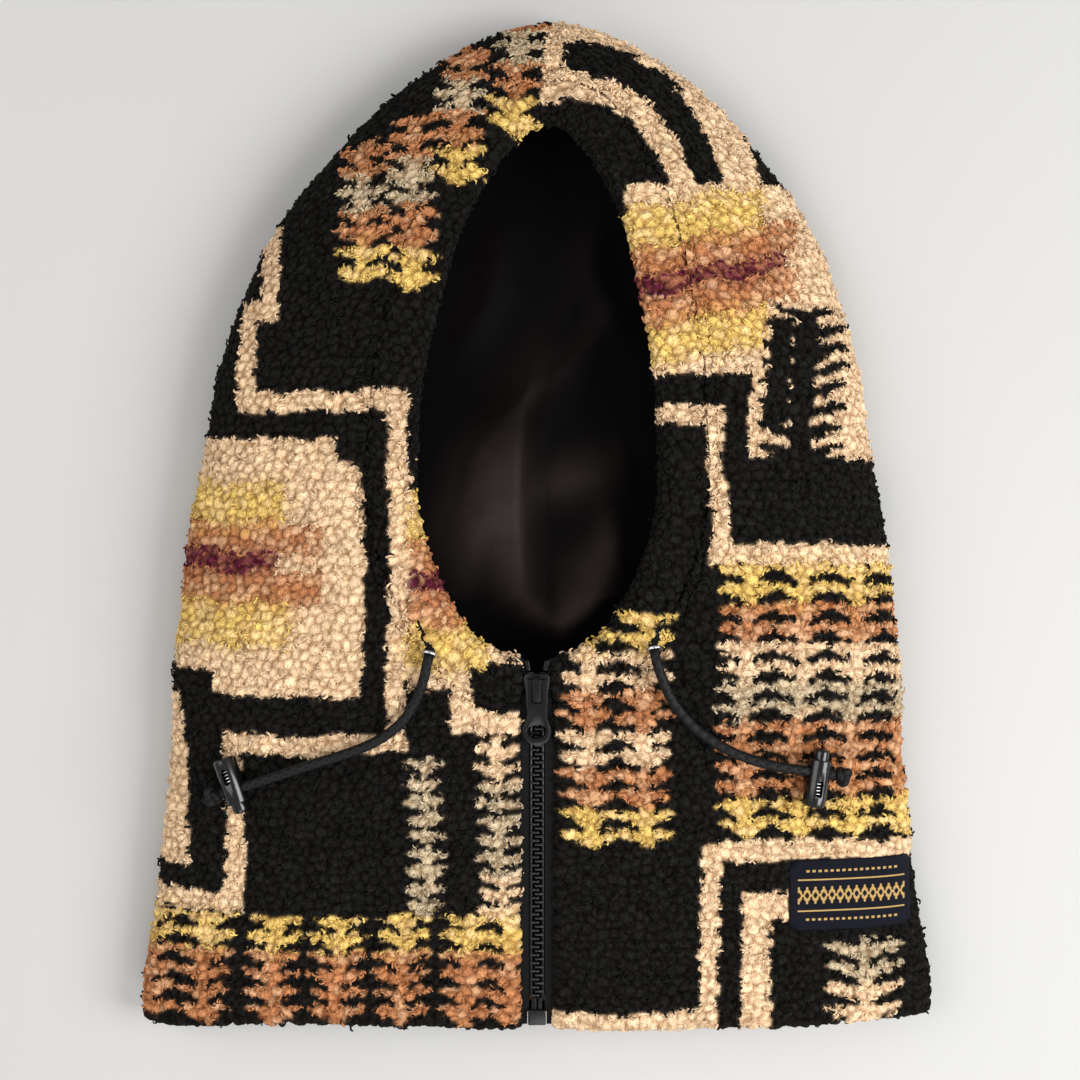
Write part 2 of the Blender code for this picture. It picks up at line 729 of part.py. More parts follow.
def make_slider(parts, helpers, looks, zip_line):
    """The slider with its bail, and the pull that hangs from it."""
    bottom = SLIDER_TOP - SLIDER_LENGTH
    inside = 0.5 * TEETH_THICKNESS + GAP
    top = inside + SLIDER_PLATE
    mouth, tail = 0.5 * SLIDER_MOUTH, 0.5 * SLIDER_TAIL
    half = [
        (0.8 * tail, bottom),
        (tail, bottom + 1.2 * MM),
        (tail, bottom + 4.5 * MM),
        (mouth, bottom + 9.0 * MM),
        (mouth, SLIDER_TOP - 1.2 * MM),
        (0.85 * mouth, SLIDER_TOP),
    ]
    body = prism(half + [(-x, y) for x, y in reversed(half)], -top, top)
    body = new_object("zip_slider", body, parts, zip_line)
    chain = 0.5 * CHAIN_WIDTH + GAP
    fork = bottom + SLIDER_FORK
    for name, side in (("left", -1), ("right", 1)):
        way = [
            (-0.2 * MM, bottom - 2 * MM),
            (chain, bottom - 2 * MM),
            (chain, fork - 1.6 * MM),
            (chain + SPLAY, SLIDER_TOP + 2 * MM),
            (1.3 * MM, SLIDER_TOP + 2 * MM),
            (1.5 * MM, fork + 2.5 * MM),
            (-0.2 * MM, fork),
        ]
        way = prism([(side * x, y) for x, y in way], -inside, inside)
        cut(body, as_cutter(new_object("chain_way_" + name, way, helpers, zip_line)))
        room = 0.5 * TAPE_THICKNESS + GAP
        low, high = sorted((side * 2 * MM, side * (mouth + 2 * MM)))
        slit = block((low, bottom - 2 * MM, -room), (high, SLIDER_TOP + 2 * MM, room))
        cut(body, as_cutter(new_object("tape_way_" + name, slit, helpers, zip_line)))
    # The bail is an arch along the slider, drawn on its side and turned upright.
    foot = bottom + 1.3 * MM
    head = SLIDER_TOP - 1.0 * MM
    rise = BAIL_HEIGHT
    arch = [
        (foot, -0.4 * MM),
        (foot, rise - 1.0 * MM),
        (foot + 1.0 * MM, rise),
        (head - 1.0 * MM, rise),
        (head, rise - 1.0 * MM),
        (head, -0.4 * MM),
        (head - BAIL_WIRE, -0.4 * MM),
        (head - BAIL_WIRE, rise - BAIL_WIRE),
        (foot + BAIL_WIRE, rise - BAIL_WIRE),
        (foot + BAIL_WIRE, -0.4 * MM),
    ]
    bm = prism(arch, -0.5 * BAIL_WIDTH, 0.5 * BAIL_WIDTH)
    upright = Matrix(((0, 0, 1, 0), (1, 0, 0, 0), (0, 1, 0, top), (0, 0, 0, 1)))
    bmesh.ops.transform(bm, matrix=upright, verts=bm.verts)
    cut(body, as_cutter(new_object("bail", bm, helpers, zip_line)), "UNION")
    dress(body, looks["zip"])

    # The pull's origin is the middle of its bar, which is the hinge.
    bar = Vector((0.0, head - BAIL_WIRE - GAP - 0.5 * PULL_THICKNESS, top + BAR_LIFT))
    ring, waist = 0.5 * PULL_RING, 0.5 * PULL_WAIST
    ring_at = -PULL_LENGTH + ring
    edge = [(0.5 * BAIL_WIDTH + 2.6 * MM, 0.5 * PULL_THICKNESS), (4.6 * MM, -1.5 * MM)]
    edge += [(waist + 0.4 * MM, -9 * MM), (waist, -13 * MM), (waist + 0.3 * MM, -16 * MM)]
    for i in range(10):
        angle = math.radians(20 - 110 * i / 9)
        edge.append((ring * math.cos(angle), ring_at + ring * math.sin(angle)))
    outline = edge + [(-x, y) for x, y in reversed(edge[:-1])]
    pull = prism(outline, -0.5 * PULL_THICKNESS, 0.5 * PULL_THICKNESS)
    pull = new_object("zip_pull", pull, parts, zip_line)
    pull.location = bar
    inner = 0.5 * BAIL_WIDTH + GAP
    slot_low = foot - GAP - bar.y
    hole = block(
        (-inner, slot_low, -5 * MM), (inner, -0.5 * PULL_THICKNESS, 5 * MM)
    )
    hole = as_cutter(new_object("bail_slot", hole, helpers, zip_line))
    hole.location = bar
    cut(pull, hole)
    oval = []
    for i in range(20):
        angle = 2 * math.pi * i / 20
        oval.append((0.5 * PULL_HOLE[0] * math.cos(angle), 0.5 * PULL_HOLE[1] * math.sin(angle)))
    oval = as_cutter(new_object("pull_hole", prism(oval, -5 * MM, 5 * MM), helpers, zip_line))
    oval.location = bar + Vector((0, ring_at, 0))
    cut(pull, oval)
    dress(pull, looks["zip"])


def make_lock(name, route, parts, helpers, looks):
    """A cord lock on the free cord: barrel, plunger and spring, and the knot behind it."""
    first, last = (Vector(route[i]) for i in LOCK_POINTS[name])
    middle = first.lerp(last, 0.5)
    along = (last - first).normalized()
    # The barrel lies across the cord, on the cloth. The left one's open end points to the
    # hem and the right one's to the crown.
    flat = Vector((along.x, along.y, 0)).normalized()
    out = Vector((flat.y, -flat.x, 0))
    wanted = -1 if name == "left" else 1
    out = out if out.y * wanted > 0 else -out
    up = along.cross(out).normalized()
    up = up if up.z > 0 else -up
    frame = Matrix((up.cross(out), up, out)).transposed().to_4x4()
    frame = Matrix.Translation(middle - out * CROSS_HOLE_AT) @ frame
    r, bore, edge = 0.5 * BARREL, 0.5 * BORE, 0.7 * MM
    barrel = turned(
        (
            (0.0, 0.0),
            (r - edge, 0.0),
            (r, edge),
            (r, BARREL_LENGTH - 0.4 * MM),
            (r - 0.4 * MM, BARREL_LENGTH),
            (bore, BARREL_LENGTH),
            (bore, BARREL_END_WALL),
            (0.0, BARREL_END_WALL),
        ),
        24,
    )
    barrel = new_object("cord_lock_barrel_" + name, barrel, parts)
    barrel.matrix_world = frame
    hole = 0.5 * CORD + CORD_ROOM
    bm = bmesh.new()
    bmesh.ops.create_cone(
        bm, cap_ends=True, segments=16, radius1=hole, radius2=hole, depth=3 * BARREL
    )
    bmesh.ops.rotate(bm, matrix=Matrix.Rotation(math.pi / 2, 3, "Y"), verts=bm.verts)
    cross = as_cutter(new_object("cord_way_" + name, bm, helpers))
    cross.matrix_world = frame @ Matrix.Translation((0, 0, CROSS_HOLE_AT))
    cut(barrel, cross)
    half_w, half_l = 0.5 * WINDOW[0], 0.5 * WINDOW[1] - 0.5 * WINDOW[0]
    outline = []
    for i in range(16):
        angle = 2 * math.pi * (i + 0.5) / 16
        end = math.copysign(half_l, math.sin(angle))
        outline.append((half_w * math.cos(angle), end + half_w * math.sin(angle)))
    window = prism(outline, 0.0, BARREL)
    bmesh.ops.rotate(window, matrix=Matrix.Rotation(-math.pi / 2, 3, "X"), verts=window.verts)
    window = as_cutter(new_object("window_" + name, window, helpers))
    window.matrix_world = frame @ Matrix.Translation((0, 0, WINDOW_AT))
    cut(barrel, window)
    dress(barrel, looks["lock"])

    pr = 0.5 * PLUNGER
    slot_low = CROSS_HOLE_AT - 0.5 * CORD - GAP
    slot_high = CROSS_HOLE_AT + 0.5 * CORD + GAP + PLUNGER_TRAVEL
    tail = slot_low - 0.8 * MM
    tip = BARREL_LENGTH + PLUNGER_STANDOUT
    plunger = turned(
        (
            (0.0, tail),
            (pr, tail),
            (pr, tip - 1.6 * MM),
            (0.92 * pr, tip - 0.8 * MM),
            (0.65 * pr, tip - 0.2 * MM),
            (0.0, tip),
        ),
        24,
    )
    plunger = new_object("cord_lock_plunger_" + name, plunger, parts)
    plunger.matrix_world = frame
    room = 0.5 * CORD + 0.35 * MM
    slot = block((-BARREL, -room, slot_low), (BARREL, room, slot_high))
    slot = as_cutter(new_object("plunger_slot_" + name, slot, helpers))
    slot.matrix_world = frame
    cut(plunger, slot)
    dress(plunger, looks["lock"])

    low = BARREL_END_WALL + GAP + 0.5 * SPRING_WIRE
    high = tail - GAP - 0.5 * SPRING_WIRE
    coil = bore - GAP - 0.5 * SPRING_WIRE
    steps = round(SPRING_TURNS * 10)
    points = []
    for i in range(steps + 1):
        angle = 2 * math.pi * SPRING_TURNS * i / steps
        z = low + (high - low) * i / steps
        points.append((coil * math.cos(angle), coil * math.sin(angle), z))
    spring = tube("cord_lock_spring_" + name, points, 0.5 * SPRING_WIRE, parts)
    spring.matrix_world = frame
    dress(spring, looks["metal"])

    bm = bmesh.new()
    bmesh.ops.create_uvsphere(bm, u_segments=14, v_segments=10, radius=0.5)
    bmesh.ops.scale(bm, vec=KNOT_SIZE, verts=bm.verts)
    knot = new_object("cord_knot_" + name, bm, parts)
    knot_at = last + along * (0.5 * KNOT_SIZE[0] + GAP)
    knot.matrix_world = Matrix.Translation(knot_at) @ Matrix(
        (along, up.cross(along), up)
    ).transposed().to_4x4()
    dress(knot, looks["cord"])


def make_label(parts, looks):
    """The woven label, which follows the cloth under it."""
    width, height = LABEL_SIZE
    across, up = 16, 5
    bm = bmesh.new()
    bmesh.ops.create_grid(bm, x_segments=across, y_segments=up, size=0.5)
    for vert in bm.verts:
        x = 0.5 * HEM_WIDTH - LABEL_FROM_SIDE + vert.co.x * width
        h = LABEL_HEIGHT + vert.co.y * height
        vert.co = place(x, h, top_height(x, h) + 2 * GAP)
    obj = new_object("woven_label", bm, parts)
    solid = obj.modifiers.new("thickness", "SOLIDIFY")
    solid.thickness = LABEL_THICKNESS
    solid.offset = 1.0
    dress(obj, looks["label"])


def main():
    for obj in list(bpy.data.objects):
        bpy.data.objects.remove(obj)
    parts = bpy.data.collections.new("balaclava")
    helpers = bpy.data.collections.new("cutters")
    for collection in (parts, helpers):
        bpy.context.scene.collection.children.link(collection)
    looks = {
        "shell": finish("curly_pile", (0.30, 0.22, 0.14), 0.95),
        "lining": finish("black_velour", (0.008, 0.007, 0.007), 0.7),
        "cord": finish("black_cord", (0.012, 0.012, 0.012), 0.6),
        "metal": finish("dark_metal", (0.25, 0.25, 0.26), 0.3, 1.0),
        "zip": finish("zip_plastic", (0.01, 0.01, 0.01), 0.35),
        "tape": finish("zip_tape", (0.012, 0.012, 0.013), 0.9),
        "lock": finish("lock_plastic", (0.012, 0.012, 0.012), 0.2),
        "label": finish("label_weave", (0.012, 0.014, 0.03), 0.75),
    }
    zip_line = bpy.data.objects.new("zip_line", None)
    zip_line.location = (0.0, -0.5 * LENGTH, HEM_HEIGHT - ZIP_DEPTH)
    zip_line.rotation_euler = (math.atan(FRONT_SLOPE), 0.0, 0.0)
    parts.objects.link(zip_line)
    pocket = make_cloth(parts, helpers, looks, zip_line)
    bpy.context.view_layer.update()
    make_channel(parts, helpers, looks, pocket)
    make_chain(parts, looks, zip_line)
    make_foot(parts, helpers, looks, zip_line)
    make_slider(parts, helpers, looks, zip_line)
    for name, route in (("left", LEFT_ROUTE), ("right", RIGHT_ROUTE)):
        # The first two points stay, so that the end faces the eyelet squarely.
        points = [Vector(route[0]), *cord_points(route[1:], 2.0 * CORD)]
        free = as_mesh(tube("drawcord_end_" + name, points, 0.5 * CORD, parts), parts)
        dress(free, looks["cord"])
        make_lock(name, route, parts, helpers, looks)
    make_label(parts, looks)


main()
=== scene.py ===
"""Zip-front hooded balaclava in curly pile: the finished look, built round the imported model."""

import math

import bmesh
import bpy
import numpy as np
from bpy.props import FloatProperty, FloatVectorProperty, PointerProperty
from mathutils import Matrix, Vector


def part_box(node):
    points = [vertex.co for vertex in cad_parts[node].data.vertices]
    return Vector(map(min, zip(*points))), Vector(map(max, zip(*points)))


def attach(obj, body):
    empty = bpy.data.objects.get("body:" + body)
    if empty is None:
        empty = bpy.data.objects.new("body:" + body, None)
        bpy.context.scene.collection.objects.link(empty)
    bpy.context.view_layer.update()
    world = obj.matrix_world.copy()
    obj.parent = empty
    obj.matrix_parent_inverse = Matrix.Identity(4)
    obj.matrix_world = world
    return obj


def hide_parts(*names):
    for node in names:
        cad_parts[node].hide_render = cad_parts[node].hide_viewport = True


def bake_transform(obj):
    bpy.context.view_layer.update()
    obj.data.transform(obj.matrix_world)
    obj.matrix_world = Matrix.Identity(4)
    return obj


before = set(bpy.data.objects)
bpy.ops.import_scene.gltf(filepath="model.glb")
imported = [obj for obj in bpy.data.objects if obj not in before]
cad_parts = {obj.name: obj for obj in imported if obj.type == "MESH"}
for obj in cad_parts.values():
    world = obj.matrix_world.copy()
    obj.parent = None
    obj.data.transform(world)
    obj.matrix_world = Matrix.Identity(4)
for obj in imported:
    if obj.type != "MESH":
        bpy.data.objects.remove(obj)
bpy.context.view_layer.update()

bl_info = {
    "name": "Curly pile balaclava",
    "version": (1, 0, 0),
    "blender": (4, 5, 0),
    "location": "View3D > Sidebar > Balaclava",
    "description": "Builds a zip-front balaclava from its packed model",
    "category": "Add Mesh",
}

MM = 0.001
TABLE = 0.1 * MM  # the pile lies pressed on the surface, and not through it
SIDES = (("left", -1), ("right", 1))

# The hood's form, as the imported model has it.
SHELL_LOW, SHELL_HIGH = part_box("shell_left")
HALF_HEM = -SHELL_LOW.x
LENGTH = SHELL_HIGH.y - SHELL_LOW.y
HEM_Y = SHELL_LOW.y
TAPER = 0.238
CROWN_START = 180 * MM
SIDE_HEIGHT = 13 * MM
HEM_HEIGHT = 36 * MM
FRONT_SLOPE = 0.09
SLOPE_END = 165 * MM
SLOPE_EASE = 60 * MM
CROWN_LEAN = 7.7 * MM
LEAN_START = 200 * MM
OPENING_BOTTOM = 156 * MM
OPENING_TOP = 378 * MM
OPENING_WIDTH = 100 * MM
CHANNEL_WIDTH = 24 * MM
CHANNEL_THICKNESS = 11 * MM
CROWN_CURVE = 0.625  # how fast the outline closes on the crown
BACK_CURVE = 0.5  # the section's back is nearly flat, with round side folds
BACK_FLATNESS = 1.08
BACK_LIFT = 8  # power by which only the crown's very end lifts off the table
FRONT_CURVE = (0.75, 0.85)  # the section's front: powers of the cosine and the sine
ZIP_SLOT = 15 * MM
ZIP_DEPTH = 4 * MM
# The right half of the face opening, bottom to top: shares of its half width and its height.
OPENING_OUTLINE = (
    (0.0, 0.0), (0.28, 0.010), (0.52, 0.045), (0.71, 0.108), (0.88, 0.198), (0.99, 0.300),
    (0.99, 0.423), (0.93, 0.536), (0.84, 0.649), (0.68, 0.784), (0.52, 0.874), (0.34, 0.941),
    (0.17, 0.985), (0.0, 1.0),
)

# How the cloth lies.
ROLL = 2.6 * MM  # radius of the shell's rolled edges
SEAM_WIDTH = 2.2 * MM
SEAM_DEPTH = 1.8 * MM
HALF_SEAM = 0.15 * MM  # gap from the middle, where the two sides meet
SWELL = 1.1 * MM  # the shell's slow rise and fall
CHANNEL_SWELL = 0.8 * MM
CHANNEL_LAP = 3.6 * MM  # how far the shell's pile runs on under the channel's roll
SIDE_END = 0.5 * math.pi  # the angle of the section's middle, at the front and (below 0) the back
LINING_DEPTH = 6.8 * MM
LABEL_SIZE = (54 * MM, 30 * MM)

# Each free cord, from its eyelet to its knot.
LEFT_ROUTE = (
    (-0.0440, -0.0570, 0.0527), (-0.0447, -0.0600, 0.0540), (-0.0460, -0.0660, 0.0535),
    (-0.0495, -0.0755, 0.0509), (-0.0560, -0.0850, 0.0496), (-0.0660, -0.0925, 0.0484),
    (-0.0780, -0.0975, 0.0478), (-0.0900, -0.1014, 0.0474), (-0.1000, -0.1047, 0.0464),
    (-0.1100, -0.1081, 0.0448), (-0.1200, -0.1116, 0.0431), (-0.1313, -0.1155, 0.0411),
)
RIGHT_ROUTE = (
    (0.0480, -0.0550, 0.0524), (0.0486, -0.0580, 0.0537), (0.0505, -0.0645, 0.0533),
    (0.0555, -0.0755, 0.0507), (0.0640, -0.0860, 0.0492), (0.0740, -0.0935, 0.0482),
    (0.0840, -0.0985, 0.0478), (0.0940, -0.1018, 0.0475), (0.1030, -0.1037, 0.0468),
    (0.1100, -0.1048, 0.0459), (0.1180, -0.1061, 0.0447), (0.1230, -0.1069, 0.0440),
)
ROUTES = {"left": LEFT_ROUTE, "right": RIGHT_ROUTE}


# ---------------------------------------------------------------- settings


def colour_property(name, description, default):
    return FloatVectorProperty(
        name=name, description=description, default=default, size=3, subtype="COLOR", min=0, max=1
    )


def length_property(name, description, default):
    return FloatProperty(
        name=name, description=description, default=default, subtype="DISTANCE", unit="LENGTH"
    )


class PileSettings(bpy.types.PropertyGroup):
    nub: length_property("Nub", "Distance between the pile's rounded nubs", 4.5 * MM)
    height: length_property("Nub height", "How far the nubs stand out", 2.9 * MM)
    root: length_property("Root depth", "Depth of the backing below the pile's tips", 2.7 * MM)
    fine: length_property("Front grid", "Mesh spacing of the front", 0.82 * MM)
    coarse: length_property("Back grid", "Mesh spacing of the back", 1.5 * MM)
    black: colour_property("Black", "Ground colour", (0.0088, 0.0086, 0.0081))
    cream: colour_property("Cream", "Lightest colour", (0.90, 0.65, 0.41))
    ecru: colour_property("Ecru", "Greyer light colour of the stacks", (0.62, 0.50, 0.33))
    yellow: colour_property("Yellow", "Stripe colour", (0.86, 0.60, 0.175))
    rust: colour_property("Rust", "Stripe colour", (0.58, 0.245, 0.105))
    burgundy: colour_property("Burgundy", "Middle stripe colour", (0.13, 0.014, 0.042))


class TrimSettings(bpy.types.PropertyGroup):
    cord: length_property("Cord", "Diameter of the drawcord", 4.2 * MM)
    tooth_pitch: length_property("Tooth pitch", "Distance from tooth to tooth", 3.5 * MM)
    plastic: colour_property("Plastic", "Moulded plastic and lacquer", (0.0032, 0.0032, 0.0036))
    cloth: colour_property("Cord and tape", "Cord, tape and thread", (0.0036, 0.0036, 0.0040))
    velour: colour_property("Velour", "Lining colour", (0.0016, 0.0012, 0.0012))
    navy: colour_property("Navy", "Label ground", (0.0022, 0.0025, 0.0075))
    gold: colour_property("Gold", "Label thread", (0.58, 0.37, 0.13))


class StageSettings(bpy.types.PropertyGroup):
    floor: colour_property("Floor", "Surface under the hood", (0.51, 0.507, 0.498))
    height: length_property("Camera height", "Camera above the surface", 0.665)
    lens: FloatProperty(name="Lens", description="Focal length in mm", default=50.0, min=10)


# ---------------------------------------------------------------- form of the hood


def crown_share(h, inset):
    """0 up to where the crown starts to turn over, and 1 at its top."""
    return np.clip((h - CROWN_START) / (LENGTH - inset - CROWN_START), 0.0, 1.0)


def front_crest(h):
    """Height of the front's middle line, which slopes up from the hem and then levels."""
    eased = SLOPE_EASE * (1.0 - np.exp((SLOPE_END - np.maximum(h, SLOPE_END)) / SLOPE_EASE))
    return HEM_HEIGHT + FRONT_SLOPE * (np.minimum(h, SLOPE_END) + eased)


def section_sizes(h, inset):
    """Half width, bottom and top of the cross-section at heights above the hem."""
    u = crown_share(h, inset)
    width = (HALF_HEM * (1.0 - TAPER * h / LENGTH) - inset) * (1.0 - u**3) ** CROWN_CURVE
    top = SIDE_HEIGHT + (front_crest(h) - inset - SIDE_HEIGHT) * np.sqrt(1.0 - u**3)
    bottom = SIDE_HEIGHT - (SIDE_HEIGHT - inset) * np.sqrt(1.0 - u**BACK_LIFT)
    return width, bottom, top


def skin(angle, h, inset):
    """(x, z) on the skin: angle -90 degrees is the middle of the back and 90 of the front."""
    width, bottom, top = section_sizes(h, inset)
    c = np.clip(np.cos(angle), 0.0, 1.0)
    s = np.abs(np.sin(angle))
    back = np.maximum(bottom, SIDE_HEIGHT - BACK_FLATNESS * (SIDE_HEIGHT - bottom) * s**BACK_CURVE)
    front = SIDE_HEIGHT + (top - SIDE_HEIGHT) * s ** FRONT_CURVE[1]
    x = width * np.where(angle < 0, c**BACK_CURVE, c ** FRONT_CURVE[0])
    return x, np.where(angle < 0, back, front)


def top_height(x, h, inset=0.0):
    """Height of the front's skin over a point."""
    width, _, top = section_sizes(h, inset)
    c = np.minimum(np.abs(x) / np.maximum(width, 1e-6), 1.0) ** (1.0 / FRONT_CURVE[0])
    return SIDE_HEIGHT + (top - SIDE_HEIGHT) * np.sqrt(1.0 - c * c) ** FRONT_CURVE[1]


def lean(h):
    """How far the crown leans to the right."""
    return CROWN_LEAN * (np.maximum(h - LEAN_START, 0.0) / (LENGTH - LEAN_START)) ** 2


def placed(x, h, z):
    """Points of the cloth in the part's frame: the crown leans over, and the edges wander."""
    wander = 1.0 + 0.008 * np.sin(41 * h + 1.0) + 0.004 * np.sin(97 * h)
    from_hem = np.clip(1.0 - h / (50 * MM), 0, 1)
    dip = np.sin(29 * x + 0.6) + 0.5 * np.sin(71 * x)
    dip = 1.3 * MM * dip * from_hem * np.clip(np.abs(x) / (40 * MM) - 0.35, 0, 1)
    return np.stack([x * wander + lean(h), h + HEM_Y - dip, z], axis=-1)


def smooth_curve(points, per_span):
    """Points on a Catmull-Rom curve through the given points."""
    p = np.array(points, float)
    p = np.vstack([2 * p[0] - p[1], p, 2 * p[-1] - p[-2]])
    t = (np.arange(per_span) / per_span)[:, None]
    spans = []
    for a, b, c, d in zip(p, p[1:], p[2:], p[3:]):
        cubic = (2 * a - 5 * b + 4 * c - d) * t**2 + (3 * b - a - 3 * c + d) * t**3
        spans.append(0.5 * (2 * b + (c - a) * t + cubic))
    return np.vstack([*spans, p[-2:-1]])


def run_along(points):
    """How far along a line each of its points lies."""
    return np.concatenate([[0], np.cumsum(np.linalg.norm(np.diff(points, axis=0), axis=1))])


def even_points(points, spacing):
    """Points at even distances along a line."""
    run = run_along(points)
    wanted = np.linspace(0, run[-1], max(2, round(run[-1] / spacing)) + 1)
    return np.stack([np.interp(wanted, run, points[:, k]) for k in range(points.shape[1])], 1)


def even_angles(fine, h, inset, columns):
    """Angles at even distances along the skin's section, and how far along each fine angle is."""
    run = run_along(np.column_stack(skin(fine, np.full(len(fine), h), inset)))
    return np.interp(np.linspace(0, run[-1], columns), run, fine), run


def crown_rows(first, below, last, above):
    """Heights from the hem to the crown, closer together where the crown turns over."""
    turned = np.sin(np.linspace(0, 0.5 * math.pi, above)) ** (2 / 3)
    low = np.linspace(first, CROWN_START, below)[:-1]
    return np.concatenate([low, CROWN_START + (last - CROWN_START) * turned])


def opening_edge():
    """The right half of the face opening, bottom to top: points (x, h) and outward normals."""
    height = OPENING_TOP - OPENING_BOTTOM
    share = np.array(OPENING_OUTLINE)
    points = np.stack([0.5 * OPENING_WIDTH * share[:, 0], OPENING_BOTTOM + height * share[:, 1]], 1)
    flip = np.array([-1.0, 1.0])
    whole = np.vstack([points[1] * flip, points, points[-2] * flip])
    edge = even_points(smooth_curve(whole, 12)[12:-12], 2 * MM)
    along = np.gradient(edge, axis=0)
    along /= np.linalg.norm(along, axis=1)[:, None]
    along[0], along[-1] = (1, 0), (-1, 0)
    return edge, np.stack([along[:, 1], -along[:, 0]], 1)


EDGE, EDGE_OUT = opening_edge()


BATCH = 4000  # points measured at a time, to spare memory


def edge_distance(x, h):
    """How far points lie outside the face opening's edge (negative inside it)."""
    p = np.stack([np.abs(x), h], -1)
    found = np.empty(len(p))
    for start in range(0, len(p), BATCH):
        part = p[start : start + BATCH]
        gap = part[:, None] - EDGE[None]
        squared = (gap**2).sum(-1)
        near = squared.argmin(1)
        rows = np.arange(len(part))
        sign = np.sign((gap[rows, near] * EDGE_OUT[near]).sum(-1))
        found[start : start + BATCH] = np.sqrt(squared[rows, near]) * sign
    return found


def swell(x, h):
    """Slow rise and fall of the loose cloth, between about -1 and 1."""
    wave = np.sin(31 * x + 1.3) * np.sin(24 * h + 0.5) + 0.6 * np.sin(57 * x - 43 * h + 2.0)
    return 0.5 * (wave + 0.5 * np.sin(95 * h + 20 * x))


def groove(distance):
    """Depth of the stitched line that closes the channel."""
    return 1.3 * MM * np.exp(-(((distance - CHANNEL_WIDTH - 0.4 * MM) / (2.0 * MM)) ** 2))


# ---------------------------------------------------------------- mesh helpers


def settings():
    """The settings of the pile and of the trim."""
    return bpy.context.scene.balaclava_pile, bpy.context.scene.balaclava_trim


def mesh_of(name, bm):
    """A bmesh as a mesh."""
    mesh = bpy.data.meshes.new(name)
    bm.to_mesh(mesh)
    bm.free()
    return mesh


def piece(name, shape, key, body="hood"):
    """A mesh or bmesh as a named piece that rides on a body, with its material and slot."""
    mesh = mesh_of(name, shape) if isinstance(shape, bmesh.types.BMesh) else shape
    obj = bpy.data.objects.new(name, mesh)
    bpy.context.scene.collection.objects.link(obj)
    mesh.materials.append(material(key))
    mesh.shade_smooth()
    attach(obj, body)
    return obj


def thickened(obj, thickness, offset=-1.0):
    """Gives a sheet its thickness: offset -1 is inward from its faces, and 1 outward."""
    solid = obj.modifiers.new("thickness", "SOLIDIFY")
    solid.thickness = thickness
    solid.offset = offset
    graph = bpy.context.evaluated_depsgraph_get()
    mesh = bpy.data.meshes.new_from_object(obj.evaluated_get(graph))
    obj.modifiers.clear()
    obj.data = mesh


def dress(node, key):
    """Gives a CAD node that stays in sight its material."""
    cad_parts[node].data.materials.clear()
    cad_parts[node].data.materials.append(material(key))


def places(mesh):
    """The vertices' coordinates."""
    co = np.empty(len(mesh.vertices) * 3)
    mesh.vertices.foreach_get("co", co)
    return co.reshape(-1, 3)


def set_tints(mesh, colours):
    """Stores one colour for each vertex."""
    whole = np.ones((len(colours), 4), np.float32)
    whole[:, :3] = colours
    mesh.attributes.new("tint", "FLOAT_COLOR", "POINT").data.foreach_set("color", whole.ravel())


def bevelled(bm, edges, offset, clamp=True):
    bmesh.ops.bevel(
        bm, geom=edges, offset=offset, offset_type="OFFSET", segments=2, profile=0.5,
        affect="EDGES", clamp_overlap=clamp, material=-1,
    )


def grid(points, keep=None):
    """A bmesh grid through an array of points, less the cells not kept, and its points' numbers."""
    rows, columns = points.shape[:2]
    bm = bmesh.new()
    bmesh.ops.create_grid(bm, x_segments=columns - 1, y_segments=rows - 1, size=1.0)
    spot = bm.verts.layers.int.new("spot")
    for vert in bm.verts:
        column = round((vert.co.x + 1) / 2 * (columns - 1))
        row = round((vert.co.y + 1) / 2 * (rows - 1))
        vert.co = points[row, column]
        vert[spot] = row * columns + column
    if keep is not None:
        flags = keep.ravel().tolist()
        dropped = [f for f in bm.faces if not all(flags[v[spot]] for v in f.verts)]
        bmesh.ops.delete(bm, geom=dropped, context="FACES")
    loose = [v for v in bm.verts if not v.link_faces]
    bmesh.ops.delete(bm, geom=loose, context="VERTS")
    used = [v[spot] for v in bm.verts]
    bm.verts.layers.int.remove(spot)
    return bm, used


def swept(rings):
    """A tube through rings of points, with its ends capped."""
    bm = bmesh.new()
    loops = []
    for ring in rings:
        made = bmesh.ops.create_circle(bm, segments=len(ring), radius=1.0)["verts"]
        for vert, point in zip(made, ring):
            vert.co = point
        loops.append(list({e for v in made for e in v.link_edges}))
    for low, high in zip(loops, loops[1:]):
        bmesh.ops.bridge_loops(bm, edges=low + high)
    bmesh.ops.holes_fill(bm, edges=bm.edges, sides=0)
    bmesh.ops.recalc_face_normals(bm, faces=bm.faces)
    return bm


def tube_rings(points, radius, sides=12):
    """Rings round a line, turned from one to the next without twist."""
    points = [Vector(p) for p in points]
    rings = []
    across = None
    for i, point in enumerate(points):
        ahead = points[min(i + 1, len(points) - 1)] - points[max(i - 1, 0)]
        along = ahead.normalized()
        if across is None:
            across = along.orthogonal().normalized()
        across = (across - along * across.dot(along)).normalized()
        other = along.cross(across)
        r = radius(i / (len(points) - 1)) if callable(radius) else radius
        ring = []
        for k in range(sides):
            turn = 2 * math.pi * k / sides
            ring.append(point + r * (across * math.cos(turn) + other * math.sin(turn)))
        rings.append(ring)
    return rings


